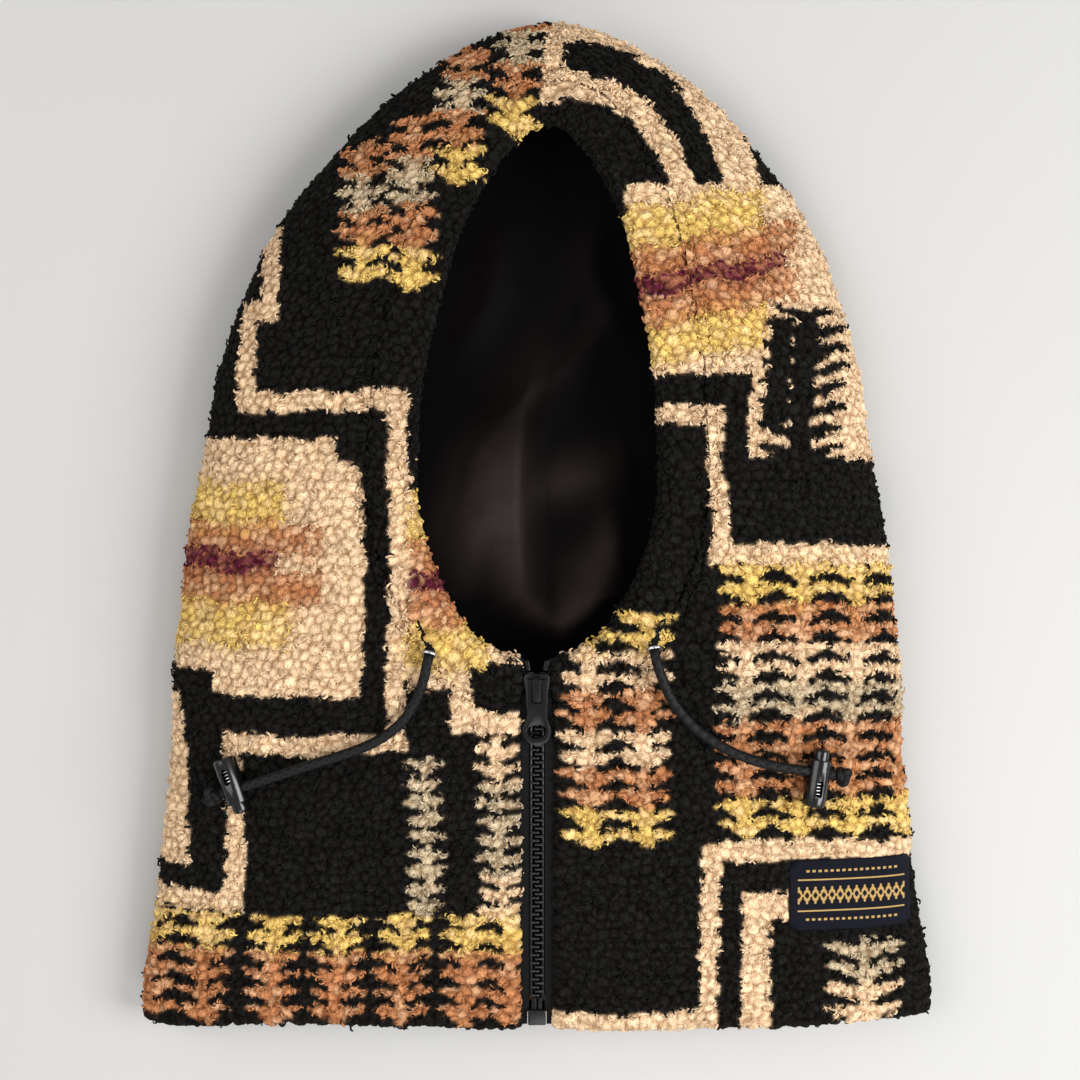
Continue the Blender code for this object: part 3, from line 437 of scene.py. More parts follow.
def refined(node, name, key, body, bevel):
    """A copy of a CAD node with its facets joined and its edges rounded, in the node's place."""
    bm = bmesh.new()
    bm.from_mesh(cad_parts[node].data)
    bmesh.ops.remove_doubles(bm, verts=bm.verts, dist=1e-6)
    bmesh.ops.dissolve_limit(
        bm, angle_limit=math.radians(1.5), verts=bm.verts, edges=bm.edges, delimit=set()
    )
    sharp = [e for e in bm.edges if e.is_manifold and e.calc_face_angle() > math.radians(18)]
    bevelled(bm, sharp, bevel)
    obj = piece(name, bm, key, body)
    obj.data.set_sharp_from_angle(angle=math.radians(38))
    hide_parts(node)
    return obj


# ---------------------------------------------------------------- shader maths


class Wire:
    """A socket that takes part in Python expressions."""

    def __init__(self, tree, socket):
        self.tree = tree
        self.socket = socket

    def node(self, kind, out=0, settings=None, **inputs):
        """Adds a node: its settings first, then values or links for its sockets."""
        made = self.tree.nodes.new("ShaderNode" + kind)
        for key, value in (settings or {}).items():
            setattr(made, key, value)
        for key, value in inputs.items():
            numbered = key[1:].isdigit()
            wanted = made.inputs[int(key[1:]) if numbered else key.replace("_", " ")]
            if isinstance(value, Wire):
                self.tree.links.new(value.socket, wanted)
            elif wanted.type == "RGBA" and len(value) == 3:
                wanted.default_value = (*value, 1.0)
            else:
                wanted.default_value = value
        return Wire(self.tree, made.outputs[out])

    def math(self, operation, other=0.0):
        return self.node("Math", settings={"operation": operation}, i0=self, i1=other)

    def __add__(self, other):
        return self.math("ADD", other)

    def __mul__(self, other):
        return self.math("MULTIPLY", other)

    def __sub__(self, other):
        return self.math("SUBTRACT", other)

    def __rsub__(self, other):
        return self.node("Math", settings={"operation": "SUBTRACT"}, i0=other, i1=self)

    def __pow__(self, other):
        return self.math("POWER", other)

    __radd__ = __add__
    __rmul__ = __mul__

    def blend(self, first, second, factor=None, mode="MIX"):
        """Mixes two colours by this value, or by the factor given."""
        kind = {"data_type": "RGBA", "blend_type": mode}
        share = self if factor is None else factor
        return self.node("Mix", out=2, settings=kind, i0=share, i6=first, i7=second)

    def shades(self, colour, low, high):
        """A colour made darker or lighter by this value."""
        return self.blend(tuple(low * c for c in colour), tuple(high * c for c in colour))

    def across_and_along(self):
        """The first two coordinates of this vector."""
        return [self.node("SeparateXYZ", out=i, Vector=self) for i in range(2)]


def start_material(name, **constants):
    """A Principled material: its constants are set, and it returns the places to link."""
    material = bpy.data.materials.new(name)
    material.use_nodes = True
    tree = material.node_tree
    shader = tree.nodes["Principled BSDF"]
    for key, value in constants.items():
        socket = shader.inputs[key.replace("_", " ")]
        socket.default_value = (*value, 1.0) if socket.type == "RGBA" else value
    coordinates = tree.nodes.new("ShaderNodeTexCoord")
    return material, shader, Wire(tree, coordinates.outputs["Object"])


def link(shader, **wires):
    for key, wire in wires.items():
        wire.tree.links.new(wire.socket, shader.inputs[key.replace("_", " ")])


def noise(place, scale, detail=3.0, rough=0.55):
    return place.node("TexNoise", Vector=place, Scale=scale, Detail=detail, Roughness=rough)


def bump(height, distance, strength):
    return height.node("Bump", Height=height, Distance=distance, Strength=strength)


def pile_material():
    """Curly wool: the knitted colour of each curl, streaked by its fibres, with painted highlight
    and shade on its strands.
    """
    material, shader, place = start_material(
        "curly_pile", Roughness=0.95, Sheen_Weight=0.012, Sheen_Roughness=0.5,
        Sheen_Tint=(1.0, 0.93, 0.82), Specular_IOR_Level=0.06,
    )
    tint = place.node("Attribute", settings={"attribute_name": "tint"})
    fibres = noise(place, 1500.0, 2.0, 0.7)
    # Strands: the thin lines along which a noise passes its middle value.
    middle = noise(place, 330.0, 2.0, 0.5) * 2.0 - 1.0
    strand = (1.0 - middle.math("ABSOLUTE")) ** 6.0
    # Painted highlight and shade: strands and fibres are made lighter and the gaps between them
    # darker, most of all on dark yarn.
    light = place.node("RGBToBW", Color=tint)
    swing = place.node("MapRange", Value=light, i1=0.0, i2=0.2, i3=1.25, i4=0.34)
    shade = 1.0 + swing * (strand + fibres * 0.5 - 0.65)
    grey = place.node("CombineColor", Red=shade, Green=shade, Blue=shade)
    link(
        shader,
        Base_Color=tint.blend(tint, grey, 1.0, "MULTIPLY"),
        Normal=bump(strand * 1.3 + fibres * 0.6, 0.7 * MM, 0.9),
    )
    return material


def velour_material(colour):
    """Short black velour, with a brownish painted highlight where a fold's slope turns to the light.
    """
    material, shader, place = start_material(
        "black_velour", Roughness=0.7, Sheen_Weight=0.10, Sheen_Roughness=0.2,
        Sheen_Tint=(0.5, 0.40, 0.37), Specular_IOR_Level=0.05,
    )
    # The painted highlight of the folds, worked out from their slopes when the lining is made.
    turned = place.node("Attribute", out=2, settings={"attribute_name": "nap"})
    cloud = noise(place, 60.0, 4.0, 0.6)
    fine = noise(place, 2400.0, 2.0)
    share = turned * (0.55 + cloud * 0.9) * (0.75 + fine * 0.5)
    link(
        shader,
        Base_Color=share.blend(colour, (0.040, 0.030, 0.028)),
        Roughness=0.6 + cloud * 0.2,
        Normal=bump(fine + cloud * 1.5, 0.25 * MM, 0.5),
    )
    return material


def cord_material(colour):
    """Braided sheath: two helices of yarn crossing, on the cord's own map, painted lighter on the
    yarns' crests and darker in the grooves as painted highlight and shade.
    """
    material, shader, place = start_material(
        "braided_cord", Roughness=0.7, Sheen_Weight=0.0, Specular_IOR_Level=0.22
    )
    braid = place.node("UVMap", settings={"uv_map": "braid"})
    across, along = braid.across_and_along()
    lift = along * 1400.0
    turn = across * (8 * math.pi)
    weave = (lift + turn).math("SINE").math("MAXIMUM", (lift - turn).math("SINE")) * 0.5 + 0.5
    link(
        shader,
        # Painted highlight on the yarns' crests, painted shade in the grooves.
        Base_Color=weave.shades(colour, 0.5, 1.5),
        Roughness=0.78 - weave * 0.24,
        Normal=bump(weave + noise(place, 1800.0, 2.0) * 0.3, 0.3 * MM, 0.7),
    )
    return material


def woven_material(name, colour, pitch):
    """Close woven tape: ribs along and across it, painted lighter on their crests and darker between
    them as painted highlight and shade.
    """
    material, shader, place = start_material(name, Roughness=0.85, Specular_IOR_Level=0.15)
    x, y = place.across_and_along()
    k = 2 * math.pi / pitch
    ribs = (x * k + y * k * 0.5).math("SINE") * 0.5 + 0.5
    picks = (y * k * 1.4).math("SINE") * 0.5 + 0.5
    weave = ribs * 0.6 + picks * 0.4
    link(
        shader,
        # Painted highlight on the ribs, painted shade between them.
        Base_Color=weave.shades(colour, 0.6, 1.9),
        Roughness=0.74 + noise(place, 500.0) * 0.2,
        Normal=bump(weave, 0.2 * MM, 0.8),
    )
    return material


def plastic_material(name, colour, rough, grain, gloss):
    """Moulded plastic or lacquer: a faint grain, duller where it is handled."""
    material, shader, place = start_material(name, Specular_IOR_Level=gloss)
    wear = noise(place, 180.0, 4.0, 0.65)
    link(
        shader,
        Base_Color=wear.shades(colour, 0.8, 1.6),
        Roughness=rough + wear * 0.16,
        Normal=bump(noise(place, 2200.0, 2.0) + wear, grain, 0.35),
    )
    return material


def metal_material():
    """Dark plated metal."""
    material, shader, place = start_material("dark_metal", Metallic=1.0)
    wear = noise(place, 400.0)
    link(
        shader,
        Base_Color=wear.blend((0.42, 0.42, 0.43), (0.75, 0.75, 0.76)),
        Roughness=0.18 + wear * 0.2,
    )
    return material


def label_material(navy, thread):
    """Damask-woven label: twill ground, gold thread where the mask says so, with painted highlight
    and shade along the twill. Its map is in mm.
    """
    material, shader, place = start_material(
        "label_weave", Roughness=0.75, Sheen_Weight=0.0, Specular_IOR_Level=0.15
    )
    x, y = place.node("UVMap", settings={"uv_map": "label"}).across_and_along()
    ax, ay = x.math("ABSOLUTE"), y.math("ABSOLUTE")
    half_width = 0.5 * LABEL_SIZE[0] / MM

    def stripe(at, width):
        return (ay - at).math("ABSOLUTE").math("LESS_THAN", width)

    # Two thin rules with a row of stepped lozenges between them, and a dashed row each side.
    inner = ax.math("LESS_THAN", half_width - 3.2)
    rules = stripe(6.6, 0.32) * inner
    cell = (x.math("PINGPONG", 3.6) - 1.8).math("ABSOLUTE")
    steps = cell.math("SNAP", 0.45) * 1.9 + ay.math("SNAP", 0.6)
    lozenges = (steps.math("LESS_THAN", 3.1) - steps.math("LESS_THAN", 1.2)) * inner
    dashes = stripe(10.3, 0.5) * x.math("PINGPONG", 1.3).math("GREATER_THAN", 0.6)
    dashes = dashes * ax.math("LESS_THAN", half_width - 6.0)
    gold = (rules + lozenges + dashes).math("MINIMUM", 1.0)
    twill = (x * 13.0 + y * 13.0).math("SINE") * 0.5 + 0.5
    link(
        shader,
        # Painted highlight and shade along the twill lines, on the ground and on the gold thread.
        Base_Color=gold.blend(twill.shades(navy, 0.6, 1.7), twill.shades(thread, 0.62, 1.0)),
        Normal=bump(twill + gold * 0.8, 0.15 * MM, 0.7),
    )
    return material


MATERIALS = {}


def material(key):
    """Each material is made once."""
    _, trim = settings()
    makers = {
        "pile": (pile_material,),
        "velour": (velour_material, trim.velour),
        "cord": (cord_material, trim.cloth),
        "tape": (woven_material, "zip_tape_weave", trim.cloth, 0.9 * MM),
        "thread": (woven_material, "black_thread", trim.cloth, 0.4 * MM),
        "zip": (plastic_material, "zip_plastic", trim.plastic, 0.20, 0.05 * MM, 0.30),
        "lock": (plastic_material, "lock_plastic", trim.plastic, 0.10, 0.02 * MM, 0.55),
        "metal": (metal_material,),
        "label": (label_material, trim.navy, trim.gold),
    }
    if key not in MATERIALS:
        maker, *inputs = makers[key]
        MATERIALS[key] = maker(*inputs)
    return MATERIALS[key]


# ---------------------------------------------------------------- the knitted pattern


YARNS = ("black", "cream", "ecru", "yellow", "rust", "burgundy")
PATTERN_HALF_HEM = 170  # half the hem that the pattern is laid out for, in millimetres


def pattern(u, h):
    """Colour number of each curl. u runs from the zip round the side, in millimetres."""
    u, h = u / MM, h / MM
    # Past the side fold the pattern comes back mirrored, so that it meets itself there.
    fold = PATTERN_HALF_HEM * (1.0 - TAPER * h / (LENGTH / MM))
    a = np.where(np.abs(u) > fold, np.sign(u) * (2 * fold - np.abs(u)), u)
    tone = np.zeros(len(a), int)
    black, cream, ecru, yellow, rust, burgundy = range(len(YARNS))

    def fill(mask, colour):
        tone[mask] = colour

    def box(x0, x1, h0, h1):
        return (a > x0) & (a < x1) & (h > h0) & (h < h1)

    def teeth(x, h0, h1, core, reach, pitch):
        """Barbs about a stem, one over another."""
        rise = ((h - h0 - 0.42 * np.abs(a - x)) / pitch) % 1.0
        half = core + (reach - core) * np.clip(1.25 - 1.25 * rise, 0, 1) * (rise < 0.62)
        return (np.abs(a - x) < half) & (h > h0) & (h < h1)

    def stacked(x, h0, h1, core, reach, colours, pitch):
        """A stack of barbs that changes colour as it climbs."""
        shape = teeth(x, h0, h1, core, reach, pitch)
        for i, colour in enumerate(colours):
            low, high = (h0 + (h1 - h0) * (i + k) / len(colours) for k in (0, 1))
            fill(shape & (h >= low) & (h < high), colour)

    def bent(points, width, colour):
        """A line of even width with square corners."""
        half = 0.5 * width
        for corners in zip(points, points[1:]):
            low, high = np.min(corners, axis=0) - half, np.max(corners, axis=0) + half
            fill(box(low[0], high[0], low[1], high[1]), colour)

    def banded(x0, x1, top, heights, colours, cuts, slope=0.0):
        """Stripes laid one under another, each with its own stepped end."""
        level = h - slope * (a - 0.5 * (x0 + x1)) - 1.2 * np.sin(0.21 * a)
        for height, colour, cut in zip(heights, colours, cuts):
            fill((a > x0) & (a < x1 - cut) & (level > top - height) & (level < top), colour)
            top -= height

    sunset = (yellow, rust, burgundy, rust, yellow)

    # Left: a cream block with stripes, inside a stepped cream line.
    fill(box(-185, -71, 140, 247) & ~box(-82, -71, 236, 247) & ~box(-185, -134, 140, 150), cream)
    banded(-185, -98, 229, (17, 12, 8, 13, 18), sunset, (6, -9, 10, -9, 4))
    bent(((-113, 334), (-113, 300), (-121, 300), (-121, 262), (-57, 262)), 8, cream)
    bent(((-57, 262), (-57, 120), (-128, 120)), 8, cream)
    bent(((-128, 120), (-128, 52), (-176, 52)), 8, cream)
    fill(box(-176, -148, 66, 140), cream)
    # Left hem: a row of stacks, and two light stacks by the zip.
    for x in (-162, -139, -109, -82, -55, -28, -11):
        stacked(x, 1, 47, 2.6, 12.0, (rust, rust, yellow), 8.0)
    stacked(-47, 47, 113, 1.2, 8.0, (ecru, ecru, ecru), 7.5)
    stacked(-16, 45, 122, 1.6, 9.5, (cream, ecru, ecru, cream), 7.5)
    # The left edge of the opening.
    fill(box(-53, -5, 146, 222) & ~box(-36, -5, 134, 153), cream)
    banded(-53, -20, 222, (20, 12, 8, 14, 18), sunset, (0, 0, 0, 0, 0))
    bent(((-46, 146), (-30, 146), (-30, 128), (-8, 128)), 9, cream)
    # Left crown: stacks that climb beside the opening.
    for x, low, high in ((-74, 310, 372), (-54, 306, 380), (-36, 350, 412), (-14, 372, 434)):
        stacked(x, low, high, 3.0, 11.0, (yellow, rust, ecru, rust), 8.5)
    fill(box(-4, 5, 386, 440), cream)

    # Right crown: two stepped bands, and a cream field with its stripes.
    arch = np.hypot(a - 8, 0.8 * (h - 330))
    fill((h > 330) & (a > 5) & (arch > 47) & (arch < 57), cream)
    fill((h > 318) & (a > 5) & (arch > 68) & (arch < 84), cream)
    fill(box(34, 185, 238, 352) & ~box(34, 84, 238, 268), cream)
    banded(34, 112, 348, (17, 13, 7, 13, 17), sunset, (22, 8, 14, 8, 20), 0.17)
    fill(box(120, 136, 318, 338), rust)
    fill(box(123, 133, 324, 332), burgundy)
    # A dark barbed wedge.
    stacked(110, 234, 300, 5.0, 19.0, (black,), 8.5)
    fill(box(94, 104, 252, 296), black)
    # Right: stepped lines that frame the stacks below.
    bent(((50, 268), (84, 268), (84, 210), (185, 210)), 8, black)
    bent(((50, 256), (74, 256), (74, 198), (185, 198)), 8, cream)
    fill(box(42, 70, 160, 252), black)
    for x in (86, 109, 132, 155):
        stacked(x, 80, 194, 2.8, 12.0, (yellow, rust, rust, ecru, cream, rust, yellow), 8.2)
    for x in (22, 45):
        stacked(x, 78, 176, 2.6, 11.5, (yellow, rust, cream, rust, cream, yellow), 8.2)
    # Right hem: a cream corner frame and a light stack in the corner.
    bent(((72, 8), (72, 74), (185, 74)), 8, cream)
    bent(((8, 3), (72, 3)), 9, cream)
    fill(box(86, 98, -1, 56) | box(86, 112, 44, 56), cream)
    stacked(138, -2, 36, 3.0, 17.0, (cream, ecru), 9.0)
    return tone


def pile_colours():
    pile, _ = settings()
    return np.array([tuple(getattr(pile, name)) for name in YARNS])


# ---------------------------------------------------------------- pile


NUB_CELLS = (257, 263)  # the nubs' random places repeat after so many columns and rows
ROW_SHARE = 0.87  # distance between rows of nubs, as a share of the distance along a row


def nubs(s, t, spacing, seed):
    """Rounded nubs over a flat map of the cloth: height, crease and a number for each nub."""
    s = s / spacing + 0.16 * np.sin(2.1 * t / spacing) + 0.10 * np.sin(5.3 * s / spacing + 1.0)
    t = t / (ROW_SHARE * spacing) + 0.16 * np.sin(1.9 * s + 0.7)
    row = np.floor(t).astype(int)
    table = np.random.default_rng(seed).uniform(0, 1, (3, *NUB_CELLS))
    near, second, own = np.full(s.shape, 9.0), np.full(s.shape, 9.0), np.zeros(s.shape)
    for j in range(-1, 2):
        # Every other row is half a nub along, so that they pack closely.
        shifted = s - 0.5 * ((row + j) % 2)
        column = np.floor(shifted).astype(int)
        for i in range(-1, 2):
            a, b = (column + i) % NUB_CELLS[0], (row + j) % NUB_CELLS[1]
            x = column + i + 0.14 + 0.72 * table[0, a, b] - shifted
            y = row + j + 0.14 + 0.72 * table[1, a, b] - t
            gap = np.hypot(x, ROW_SHARE * y)
            closer = gap < near
            second = np.where(closer, near, np.minimum(second, gap))
            own = np.where(closer, table[2, a, b], own)
            near = np.where(closer, gap, near)
    crease = np.clip((second - near) / 0.30, 0, 1)
    crease = crease * crease * (3 - 2 * crease)
    dome = np.sqrt(1.0 - np.clip(near / 0.84, 0, 1) ** 2)
    return (0.30 * crease + 0.70 * dome) * (0.72 + 0.36 * own), crease * (0.40 + 0.60 * dome), own


def pile_relief(s, t):
    """The pile's height over its root in metres, how open it is, and each nub's number."""
    pile, _ = settings()
    big, crease, own = nubs(s, t, pile.nub, 3)
    small, fine, _ = nubs(s + 0.1, t + 0.1, 0.40 * pile.nub, 5)
    return pile.height * (0.84 * big + 0.24 * small), crease * (0.66 + 0.34 * fine), own


def grid_normals(points):
    """Unit normals of a grid of points."""
    down, across = np.gradient(points, axis=0), np.gradient(points, axis=1)
    normal = np.cross(across, down)
    return normal / np.maximum(np.linalg.norm(normal, axis=2), 1e-9)[..., None]


def softened(field, times=1):
    """A grid of values, each drawn towards its four neighbours."""
    for _ in range(times):
        beside = np.pad(field, ((1, 1), (1, 1)) + ((0, 0),) * (field.ndim - 2), mode="edge")
        around = beside[:-2, 1:-1] + beside[2:, 1:-1] + beside[1:-1, :-2] + beside[1:-1, 2:]
        field = 0.6 * field + 0.1 * around
    return field


def pile_tints(u, h, crease, own):
    """Colours of the pile: the pattern, pushed about nub by nub, with painted shade in the creases
    between the nubs.
    """
    u = u + 0.9 * MM * np.sin(40 * own) + MM * np.sin(52 * h + 1.0)
    h = h + 0.9 * MM * np.cos(53 * own) + MM * np.sin(47 * u)
    tone = pattern(u, h)
    colours = pile_colours()
    tint = colours[tone]
    # Fibres of the light colours mingle where two of them meet.
    for reach, aside in ((-4.2, -2), (-2.1, 4), (2.1, -4), (4.2, 2)):
        spread = 0.4 + 1.2 * own
        other = pattern(u + aside * MM * spread, h + reach * MM * spread)
        both = ((tone > 0) & (other > 0))[:, None]
        tint = np.where(both, 0.80 * tint + 0.20 * colours[other], tint)
    # Some nubs of the stripes hold more of the light yarn.
    paler = (0.30 * (np.sin(71 * own) > 0.35) * (tone >= 3) * (tone < 5))[:, None]
    tint = (1 - paler) * tint + paler * colours[1]
    tint = tint * (0.86 + 0.28 * own)[:, None]
    uneven = 1.0 + 0.10 * np.sin(410 * u + 3 * np.sin(230 * h)) * np.sin(370 * h + 1.0)
    # Painted shade: the creases between the nubs are darkened, less on light yarn, and warmer in
    # tone.
    deep = 0.05 + 0.42 * tint.mean(1)
    shade = (deep + (1.08 - deep) * crease) * uneven
    return tint * np.stack([shade**0.80, shade, shade**1.18], 1), tone


def gathered(points):
    """Extra height of the pile round each eyelet, where the cord comes out through it."""
    total = np.zeros(points.shape[:-1])
    for route in ROUTES.values():
        exit_at = np.array(route[0])
        back = (exit_at - route[1])[:2]
        back = back / np.linalg.norm(back)
        middle = exit_at[:2] + back * 5.5 * MM
        along = (points[..., :2] - middle) @ back
        across = (points[..., :2] - middle) @ np.array([-back[1], back[0]])
        total += np.exp(-((along / (5.0 * MM)) ** 4) - (across / (5.5 * MM)) ** 2)
    return 3.6 * MM * total


def pile_skin(name, spots, sink=0.0):
    """A piece of pile grown out from a grid of root points. It returns its surface for the fuzz."""
    base, normal, s, t, u, h, keep = spots
    relief, crease, own = pile_relief(s, t)
    surface = base + normal * (relief * (1.0 - sink))[..., None]
    surface[..., 2] = np.maximum(surface[..., 2], TABLE)
    surface[..., 2] += np.where(normal[..., 2] > 0.2, gathered(surface), 0.0)
    bm, used = grid(surface, keep)
    bm.faces.ensure_lookup_table()
    middle = bm.faces[len(bm.faces) // 2]
    middle.normal_update()
    near = ((surface - np.array(middle.calc_center_median())) ** 2).sum(-1).argmin()
    if middle.normal.dot(Vector(normal.reshape(-1, 3)[near])) < 0:
        bmesh.ops.reverse_faces(bm, faces=bm.faces)
    obj = piece(name, bm, "pile")
    tints, tone = pile_tints(u.ravel(), h.ravel(), crease.ravel(), own.ravel())
    set_tints(obj.data, softened(tints.reshape(*u.shape, 3)).reshape(-1, 3)[used])
    return obj, surface, tone.reshape(u.shape)


LOCK_SIDES = 4
BORDER_SHARE = 0.27  # of the points where the colour changes, those that carry a lock
SEAM_SHARE = 0.12  # the same beside the channel's seam
# Middle lines of the locks, root to tip, in millimetres.
LOCK_PATHS = (
    ((-0.9, 0, -0.5), (-0.2, 0.2, 0.35), (0.8, 0.1, 0.5), (1.5, -0.4, 0.05)),
    ((-0.7, 0.2, -0.5), (0.1, -0.2, 0.45), (0.8, 0.2, 0.6), (1.1, 0.9, 0.2)),
    ((-0.6, 0, -0.5), (0.0, 0.4, 0.5), (0.8, 0.5, 0.45), (1.2, 0.0, 0.4)),
    ((-0.5, -0.2, -0.5), (0.0, 0.1, 0.5), (0.5, 0.5, 0.7), (1.0, 0.3, 0.5)),
)


def lock_shapes():
    """Thin bent locks of wool, as arrays of points and faces."""

    def thickness(share):
        return float(np.interp(share, (0, 0.5, 1), (0.44, 0.42, 0.16)))

    shapes = []
    for path in LOCK_PATHS:
        bm = swept(tube_rings(path, thickness, LOCK_SIDES))
        bmesh.ops.triangulate(bm, faces=bm.faces)
        points = np.array([tuple(v.co) for v in bm.verts]) * MM
        faces = np.array([[v.index for v in f.verts] for f in bm.faces])
        bm.free()
        shapes.append((points, faces))
    return shapes


def lock_mesh(name, where, normal, size, tint, rng):
    """One mesh of locks: places, outward directions, sizes and colours."""
    shapes = lock_shapes()
    count = len(where)
    spin = rng.normal(0, 1, (count, 3))
    z = normal + rng.normal(0, 0.22, (count, 3))
    z /= np.linalg.norm(z, axis=1)[:, None]
    x = np.cross(z, spin)
    x /= np.linalg.norm(x, axis=1)[:, None]
    axes = np.stack([x, np.cross(z, x), z], 1)
    which = rng.integers(0, len(shapes), count)
    cells = math.ceil(math.sqrt(count))
    all_points, all_faces, all_tints, all_maps = [], [], [], []
    base = 0
    for k, (points, faces) in enumerate(shapes):
        mine = np.flatnonzero(which == k)
        stretch = size[mine, None] * (1 + rng.normal(0, 0.12, (len(mine), 3)))
        local = points[None] * stretch[:, None]
        made = np.einsum("nvk,nkj->nvj", local, axes[mine]) + where[mine, None]
        all_points.append(made.reshape(-1, 3))
        offsets = base + np.arange(len(mine)) * len(points)
        all_faces.append((faces[None] + offsets[:, None, None]).reshape(-1, 3))
        all_tints.append(np.repeat(tint[mine], len(points), axis=0))
        # Each lock has its own cell of the flat map, laid out by turn round and place along.
        cell = np.stack([mine % cells, mine // cells], 1)
        order = np.arange(len(points))
        flat = np.stack([order % LOCK_SIDES, order // LOCK_SIDES], 1) / 4 + 0.1
        all_maps.append(((cell[:, None] + flat[None] * 0.86) / cells).reshape(-1, 2))
        base += len(mine) * len(points)
    points, faces = np.concatenate(all_points), np.concatenate(all_faces)
    points[:, 2] = np.maximum(points[:, 2], TABLE + 0.1 * MM * np.sin(4e4 * points[:, 0]) ** 2)
    mesh = bpy.data.meshes.new(name)
    mesh.vertices.add(len(points))
    mesh.vertices.foreach_set("co", points.astype(np.float32).ravel())
    mesh.loops.add(faces.size)
    mesh.loops.foreach_set("vertex_index", faces.astype(np.int32).ravel())
    mesh.polygons.add(len(faces))
    mesh.polygons.foreach_set("loop_start", np.arange(0, faces.size, 3, dtype=np.int32))
    mesh.update(calc_edges=True)
    set_tints(mesh, np.concatenate(all_tints))
    maps = np.concatenate(all_maps)[faces.ravel()]
    mesh.uv_layers.new(name="OFBake").data.foreach_set("uv", maps.astype(np.float32).ravel())
    return mesh


def fuzz(name, spots, surface, tone, share, rng):
    """Locks along every change of colour, and a share of them everywhere else."""
    normal, keep = spots[1], spots[6]
    shifted = [np.roll(tone, step, axis) for axis in (0, 1) for step in (-1, 1)]
    border = np.any([tone != other for other in shifted], axis=0) & keep
    chance = np.where(border, BORDER_SHARE, share) * keep
    picked = np.flatnonzero(rng.uniform(0, 1, tone.size) < chance.ravel())
    where = surface.reshape(-1, 3)[picked] + rng.normal(0, 0.3 * MM, (len(picked), 3))
    tint = pile_colours()[tone.ravel()[picked]] * rng.uniform(0.72, 1.06, (len(picked), 1))
    size = rng.uniform(0.75, 1.35, len(picked))
    mesh = lock_mesh(name, where, normal.reshape(-1, 3)[picked], size, tint, rng)
    return piece(name, mesh, "pile")


def pattern_place(side, x, h, angle):
    """How far round from the zip the pattern's column is, past the side fold on the back."""
    fold = section_sizes(h, 0.0)[0]
    return side * np.where(angle < 0, 2 * fold - x, x)


def label_middle():
    low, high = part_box("woven_label")
    middle_h = 0.5 * (low.y + high.y) - HEM_Y
    return 0.5 * (low.x + high.x) - float(lean(np.array([middle_h]))[0]), middle_h


def sewn_down(x, h):
    """1 under the label, where the pile is pressed flat, and 0 away from it."""
    middle_x, middle_h = label_middle()
    a = np.clip((0.5 * LABEL_SIZE[0] + 1.5 * MM - np.abs(x - middle_x)) / (2.5 * MM), 0, 1)
    b = np.clip((0.5 * LABEL_SIZE[1] + 1.5 * MM - np.abs(h - middle_h)) / (2.5 * MM), 0, 1)
    return a * b


def shell_grid(side, back, spacing, root):
    """Root points of one side's pile, outward directions, flat map, pattern places, what to keep."""
    sections = np.linspace(ROLL, LENGTH - root - 0.3 * MM, 1600)
    _, bottom, top = section_sizes(sections, root)
    run = run_along(np.column_stack([sections, bottom if back else top]))
    steps = np.linspace(0, run[-1], round(run[-1] / spacing) + 1)
    heights = np.interp(steps, run, sections)
    # The hem rolls under before the first section.
    turns = np.radians((150, 120, 90, 60, 30))
    rows = np.concatenate([ROLL - ROLL * np.sin(turns), heights])
    tuck = np.concatenate([ROLL - ROLL * np.cos(turns), np.zeros(len(heights))])
    along = np.concatenate([-ROLL * turns, steps])
    fine = np.linspace(-SIDE_END if back else 0.0, 0.0 if back else SIDE_END, 700)
    hem = run_along(np.column_stack(skin(fine, np.zeros(len(fine)), root)))[-1]
    columns = round(hem / spacing) + 1
    base, s, u, keep = [], [], [], []
    for h, inset in zip(rows, tuck + root):
        angle, ring = even_angles(fine, h, inset, columns)
        row = np.full(columns, h)
        x, z = skin(angle, row, inset)
        # The flat map is measured from the fold at the side, so that front and back agree.
        s.append(0.6 + np.interp(angle, fine, ring) - (ring[-1] if back else 0.0))
        shown = np.ones(columns, bool)
        u.append(pattern_place(side, x, row, angle))
        if not back:
            distance = edge_distance(x, row)
            by_zip = np.clip(1 - x / (22 * MM), 0, 1)
            shown = distance > CHANNEL_WIDTH - CHANNEL_LAP - 3 * MM * by_zip
            rise = SWELL * swell(side * x, row)
            z = z - groove(distance) + rise
            if h < OPENING_BOTTOM:
                # The edge along the zip rolls under.
                start = 0.5 * ZIP_SLOT + 1.2 * MM + ROLL
                turn = np.clip((start - x) / ROLL, 0, None)
                shown &= turn < 2.9
                rolled = top_height(start, h, inset) + rise - ROLL * (1 - np.cos(turn))
                z = np.where(turn > 0, rolled, z)
                x = np.where(turn > 0, start - ROLL * np.sin(turn), x)
        seam = np.exp(-((x / SEAM_WIDTH) ** 2)) * ((h > OPENING_TOP) | back)
        z = z - SEAM_DEPTH * seam * (-1.0 if back else 1.0)
        base.append(placed(side * np.maximum(x, HALF_SEAM), row, z))
        keep.append(shown)
    base = np.array(base)
    normal = grid_normals(base)
    outward = base - np.array([lean(rows).mean(), 0, SIDE_HEIGHT])
    outward[..., 1] = 0
    if (normal * outward).sum() < 0:
        normal = -normal
    t, h = (np.repeat(values[:, None], columns, 1) for values in (along, rows))
    return base, normal, np.array(s), t, np.array(u), h, np.array(keep)


